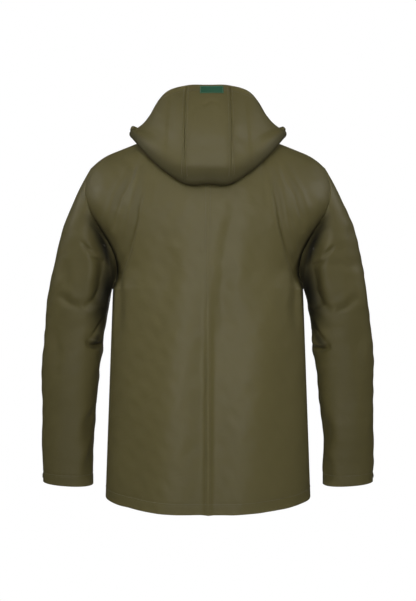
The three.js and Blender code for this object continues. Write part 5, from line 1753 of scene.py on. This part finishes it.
class JACKET_OT_loop(bpy.types.Operator):
    """Hanging loop inside the back neck, and the woven patch on the hood"""
    bl_idname = "jacket.loop"
    bl_label = "Loop and patch"

    def execute(self, context):
        half, base, top, r = 20.75, 2.0, 14.75, 2.2
        path = [(-half, z) for z in np.linspace(base, top - r, 8)]
        path += [(-half + r - r * math.cos(a), top - r + r * math.sin(a)) for a in np.linspace(0.2, 1.4, 6)]
        path += [(x, top) for x in np.linspace(-half + r, half - r, 24)]
        path += [(half - r + r * math.sin(a), top - r + r * math.cos(a)) for a in np.linspace(0.2, 1.4, 6)]
        path += [(half, z) for z in np.linspace(top - r, base, 8)]
        path = np.array(path)
        width = np.linspace(-4.0, 4.0, 9)
        grid = np.stack([path[:, :1] + 0 * width, LOOP_PLACE[1] + 0 * path[:, :1] + width,
                         path[:, 1:] + 0 * width], -1)
        out = faces_out(grid, False, np.array([0.0, LOOP_PLACE[1], 4.0]))
        loop = cloth("hang_loop_cloth", grid, 1.5, out, material("coated_cloth"), depth=-0.75,
                     worn=("low", "high"))
        keep(loop, "jacket", "coated_fabric", "hanging_loop")
        places, rows = patch_place()
        points, out = hood_grid(places, rows)
        patch = cloth("hood_patch_cloth", points, 0.8, out, material("woven_label"), depth=-0.9)
        keep(patch, "jacket", "woven_label", "hood_patch")
        return {"FINISHED"}


def patch_place():
    low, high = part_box("hood_patch")
    width = (high[0] - low[0]) * 500
    middle = (high[0] + low[0]) * 500
    return np.linspace(middle - width, middle + width, 40) / 44.5, np.linspace(2.875, 2.975, 20)


# ------------------------------------------------------------------ stitching
def body_line(face, side, x_of_z, v):
    """Stitch line on a body panel at distances x from the centre given as a function of height."""
    v = np.asarray(v, float)[:, None]
    q = np.full_like(v, 0.1)
    for _ in range(3):
        z = body_point(face, q, v, 0.0)[..., 2]
        q = x_of_z(z) / edge_x(z)

    def settle(a, b):
        return settle_body(face, a, b, side, 0.0)

    return tidy_line(*surface_line(settle, q, v, STITCH_LIFT, 1), np.array([0.0, 0.0, 1.0]))


def tidy_line(points, normal, keep_axis):
    """Turns normals away from the axis through the origin that keep_axis keeps."""
    points, normal = points.reshape(-1, 3), normal.reshape(-1, 3)
    flip = np.sign(np.sum(normal * (points * (1 - keep_axis)), -1, keepdims=True))
    fixed = normal * flip
    return points - normal * STITCH_LIFT + fixed * STITCH_LIFT, fixed


def hem_line(face, side, centre, rise, count=150):
    s = np.linspace(0, 1, count)
    q0 = centre / HEM[0]
    q = (q0 + (0.995 - q0) * s)[:, None]
    low = hem_z(face, q)
    v = rise / (ARMPIT[1] - low)

    def settle(a, b):
        return settle_body(face, a, b, side, centre if face == FRONT else 0.0)

    return tidy_line(*surface_line(settle, q, v, STITCH_LIFT, 1), np.array([0.0, 0.0, 1.0]))


def sleeve_line(side, rise):
    angle = np.linspace(0, 2 * np.pi, 140)
    t = np.full(140, 1 - rise / (SHOULDER_TIP_Z - CUFF_OUTER[1]))
    points, normal = surface_line(lambda a, b: settle_sleeve(a, b, side), angle, t, 0.0, 1)
    middle = points.mean(0)
    fixed = normal * np.sign(np.sum(normal * (points - middle), -1, keepdims=True))
    return points + fixed * 0.2, fixed


def hood_line(place, row):
    place, row = np.broadcast_arrays(np.asarray(place, float), np.asarray(row, float))
    points, normal = surface_line(settle_hood, place, row, 0.0, 1)
    heart = np.array([0.0, 60.0, 40.0])
    fixed = normal * np.sign(np.sum(normal[-1] * (points[-1] - heart)))
    return points + fixed * 0.2, fixed


def flap_stitches(side):
    """Row round the free edges of a flap."""
    grid, out = flap_grid(side, FLAP_STITCH_INSET, 62, 34)
    normal = grid_normals(grid, False, out)
    grid = grid + normal * (thick("shell") - STITCH_LIFT)
    edges = [(0, b) for b in range(4, 34)] + [(a, 33) for a in range(1, 62)]
    edges += [(61, b) for b in range(32, 3, -1)]
    a, b = np.array(edges).T
    return [(grid[a, b], normal[a, b])]


class JACKET_OT_stitching(bpy.types.Operator):
    """Rows of stitches on the seams, hems, hood, flaps, collar and labels"""
    bl_idname = "jacket.stitching"
    bl_label = "Stitching"

    def execute(self, context):
        lines = []
        low_v = np.linspace(0.004, 1, 130)
        high_v = np.linspace(1.01, 1.86, 110)
        v = np.concatenate([low_v, high_v])
        for _, side in SIDES:
            lines.append(body_line(BACK, side, lambda z: 4.6 + 0 * z, v))
            lines.append(hem_line(BACK, side, 0.6, FACING_HEIGHT))
            lines.append(hem_line(FRONT, side, ZIP_EDGE_X + 1, FACING_HEIGHT))
            lines.append(body_line(FRONT, side, lambda z: ZIP_EDGE_X + 5.0 + 0 * z,
                                   np.linspace(0.01, 1.93, 240)))
            lines.append(sleeve_line(side, FACING_HEIGHT))
        body = stitches("body_stitches", lines)
        keep(body, "jacket", "coated_fabric")
        lines = []
        wall = np.linspace(2.02, 2.985, 130)
        for seam in (-1.0, 1.0):
            lines += [hood_line(seam + offset, wall) for offset in (-0.1, 0.1)]
        brim = np.linspace(-LAST_STATION + 0.05, LAST_STATION - 0.05, 360)
        lines.append(hood_line(brim, np.full(360, 2.92)))
        hood = stitches("hood_stitches", lines)
        keep(hood, "jacket", "coated_fabric")
        for name, side in SIDES:
            flap = stitches(f"flap_stitches_{name}", flap_stitches(side))
            bend_flap(flap, name, side)
        points, out = collar_grid(ZIP_EDGE_X, 190, np.linspace(2.8, COLLAR_HEIGHT, 26))
        normal = grid_normals(points, False, out)
        row = stitches("collar_stitches", [(points[2:-2, 23] - normal[2:-2, 23] * 0.4, normal[2:-2, 23])])
        keep(row, "jacket", "coated_fabric")
        places, rows = patch_place()
        points, out = hood_grid(places, rows)
        normal = grid_normals(points, False, out)
        edge = [(a, 1) for a in range(1, 39)] + [(38, b) for b in range(2, 19)]
        edge += [(a, 18) for a in range(37, 0, -1)] + [(1, b) for b in range(17, 0, -1)]
        a, b = np.array(edge).T
        patch = stitches("patch_stitches", [(points[a, b] + normal[a, b] * 1.0, normal[a, b])],
                         "label_thread")
        keep(patch, "jacket", "woven_label")
        return {"FINISHED"}


# ------------------------------------------------------------------ stage
EYE_DISTANCE = 1.9
EYE_HEIGHT = -0.336
LENS = 52.94


def area_light(name, place, target, size, power, height=None, spread=180):
    data = bpy.data.lights.new(name, "AREA")
    data.shape = "RECTANGLE" if height else "DISK"
    data.size = size
    if height:
        data.size_y = height
    data.spread = math.radians(spread)
    data.energy = power
    light = bpy.data.objects.new(name, data)
    light.location = place
    light.rotation_euler = (Vector(target) - Vector(place)).to_track_quat("-Z", "Y").to_euler()
    bpy.context.scene.collection.objects.link(light)
    return light


class JACKET_OT_stage(bpy.types.Operator):
    """Pale floor, soft studio light, white surroundings and the camera behind the jacket"""
    bl_idname = "jacket.stage"
    bl_label = "Stage"

    def execute(self, context):
        scene = context.scene
        sizes = scene.jacket_sizes
        shape = bmesh.new()
        bmesh.ops.create_circle(shape, cap_ends=True, segments=96, radius=sizes.floor_radius)
        mesh = bpy.data.meshes.new("floor")
        shape.to_mesh(mesh)
        shape.free()
        mesh.transform(Matrix.Translation((0, -LOOP_PLACE[1] / 1000, -sizes.floor_drop)))
        mesh.materials.append(material("pale_floor"))
        floor = bpy.data.objects.new("floor", mesh)
        scene.collection.objects.link(floor)
        floor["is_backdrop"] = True
        low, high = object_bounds()
        chest = ((low[0] + high[0]) / 2, (low[1] + high[1]) / 2, (low[2] + high[2]) / 2)
        area_light("key", (0.02, 1.5, -0.1), (0.0, 0.05, -0.33), 0.45, 2.6, height=1.5, spread=62)
        area_light("near_fill", (0.2, 1.4, 1.9), chest, 0.7, 5)
        area_light("front_key", (-0.2, -2.3, 0.3), chest, 0.9, 40)
        area_light("rim_left", (1.75, 0.1, 0.75), chest, 0.35, 10)
        area_light("rim_right", (-1.75, 0.1, 0.75), chest, 0.35, 10)
        world = bpy.data.worlds.new("studio")
        world.use_nodes = True
        tree = world.node_tree
        tree.nodes.clear()
        path = tree.nodes.new("ShaderNodeLightPath")
        seen = node(tree, "ShaderNodeBackground", {"Color": (1, 1, 1, 1), "Strength": 1.0})
        light = node(tree, "ShaderNodeBackground", {"Color": (1, 1, 1, 1), "Strength": 0.012})
        both = node(tree, "ShaderNodeMixShader", {0: path.outputs["Is Camera Ray"], 1: light.outputs[0],
                                                  2: seen.outputs[0]})
        out = tree.nodes.new("ShaderNodeOutputWorld")
        tree.links.new(both.outputs[0], out.inputs[0])
        scene.world = world
        scene.view_settings.view_transform = "Standard"
        data = bpy.data.cameras.new("camera")
        data.lens = LENS
        data.sensor_width = 36.0
        data.sensor_fit = "AUTO"
        data.clip_start, data.clip_end = 0.05, 60.0
        camera = bpy.data.objects.new("camera", data)
        camera.location = (0.0, EYE_DISTANCE - LOOP_PLACE[1] / 1000, EYE_HEIGHT - LOOP_PLACE[2] / 1000)
        camera.rotation_euler = (math.pi / 2, 0.0, math.pi)
        scene.collection.objects.link(camera)
        scene.camera = camera
        return {"FINISHED"}


OPERATORS = (JACKET_OT_finishes, JACKET_OT_stage, JACKET_OT_body, JACKET_OT_sleeves, JACKET_OT_hood,
             JACKET_OT_collar, JACKET_OT_linings, JACKET_OT_pockets, JACKET_OT_zip, JACKET_OT_snaps,
             JACKET_OT_loop, JACKET_OT_stitching)


class JACKET_PT_panel(bpy.types.Panel):
    """Sizes, colours and the pieces of the jacket"""
    bl_label = "Jacket"
    bl_idname = "JACKET_PT_panel"
    bl_space_type = "VIEW_3D"
    bl_region_type = "UI"
    bl_category = "Jacket"

    def draw(self, context):
        for group_name in ("jacket_sizes", "jacket_colours"):
            values = getattr(context.scene, group_name)
            box = self.layout.box()
            for key in values.bl_rna.properties.keys():
                if key not in ("rna_type", "name"):
                    box.prop(values, key)
        for operator in OPERATORS:
            self.layout.operator(operator.bl_idname)


CLASSES = (JacketSizes, JacketColours, *OPERATORS, JACKET_PT_panel)


def register():
    for made in CLASSES:
        bpy.utils.register_class(made)
    bpy.types.Scene.jacket_sizes = PointerProperty(type=JacketSizes)
    bpy.types.Scene.jacket_colours = PointerProperty(type=JacketColours)


def unregister():
    del bpy.types.Scene.jacket_colours
    del bpy.types.Scene.jacket_sizes
    for made in reversed(CLASSES):
        bpy.utils.unregister_class(made)


def main():
    register()
    for operator in OPERATORS:
        group_name, name = operator.bl_idname.split(".")
        result = getattr(getattr(bpy.ops, group_name), name)()
        if result != {"FINISHED"}:
            raise RuntimeError(f"{operator.bl_label} did not finish")


if __name__ == "__main__":
    main()
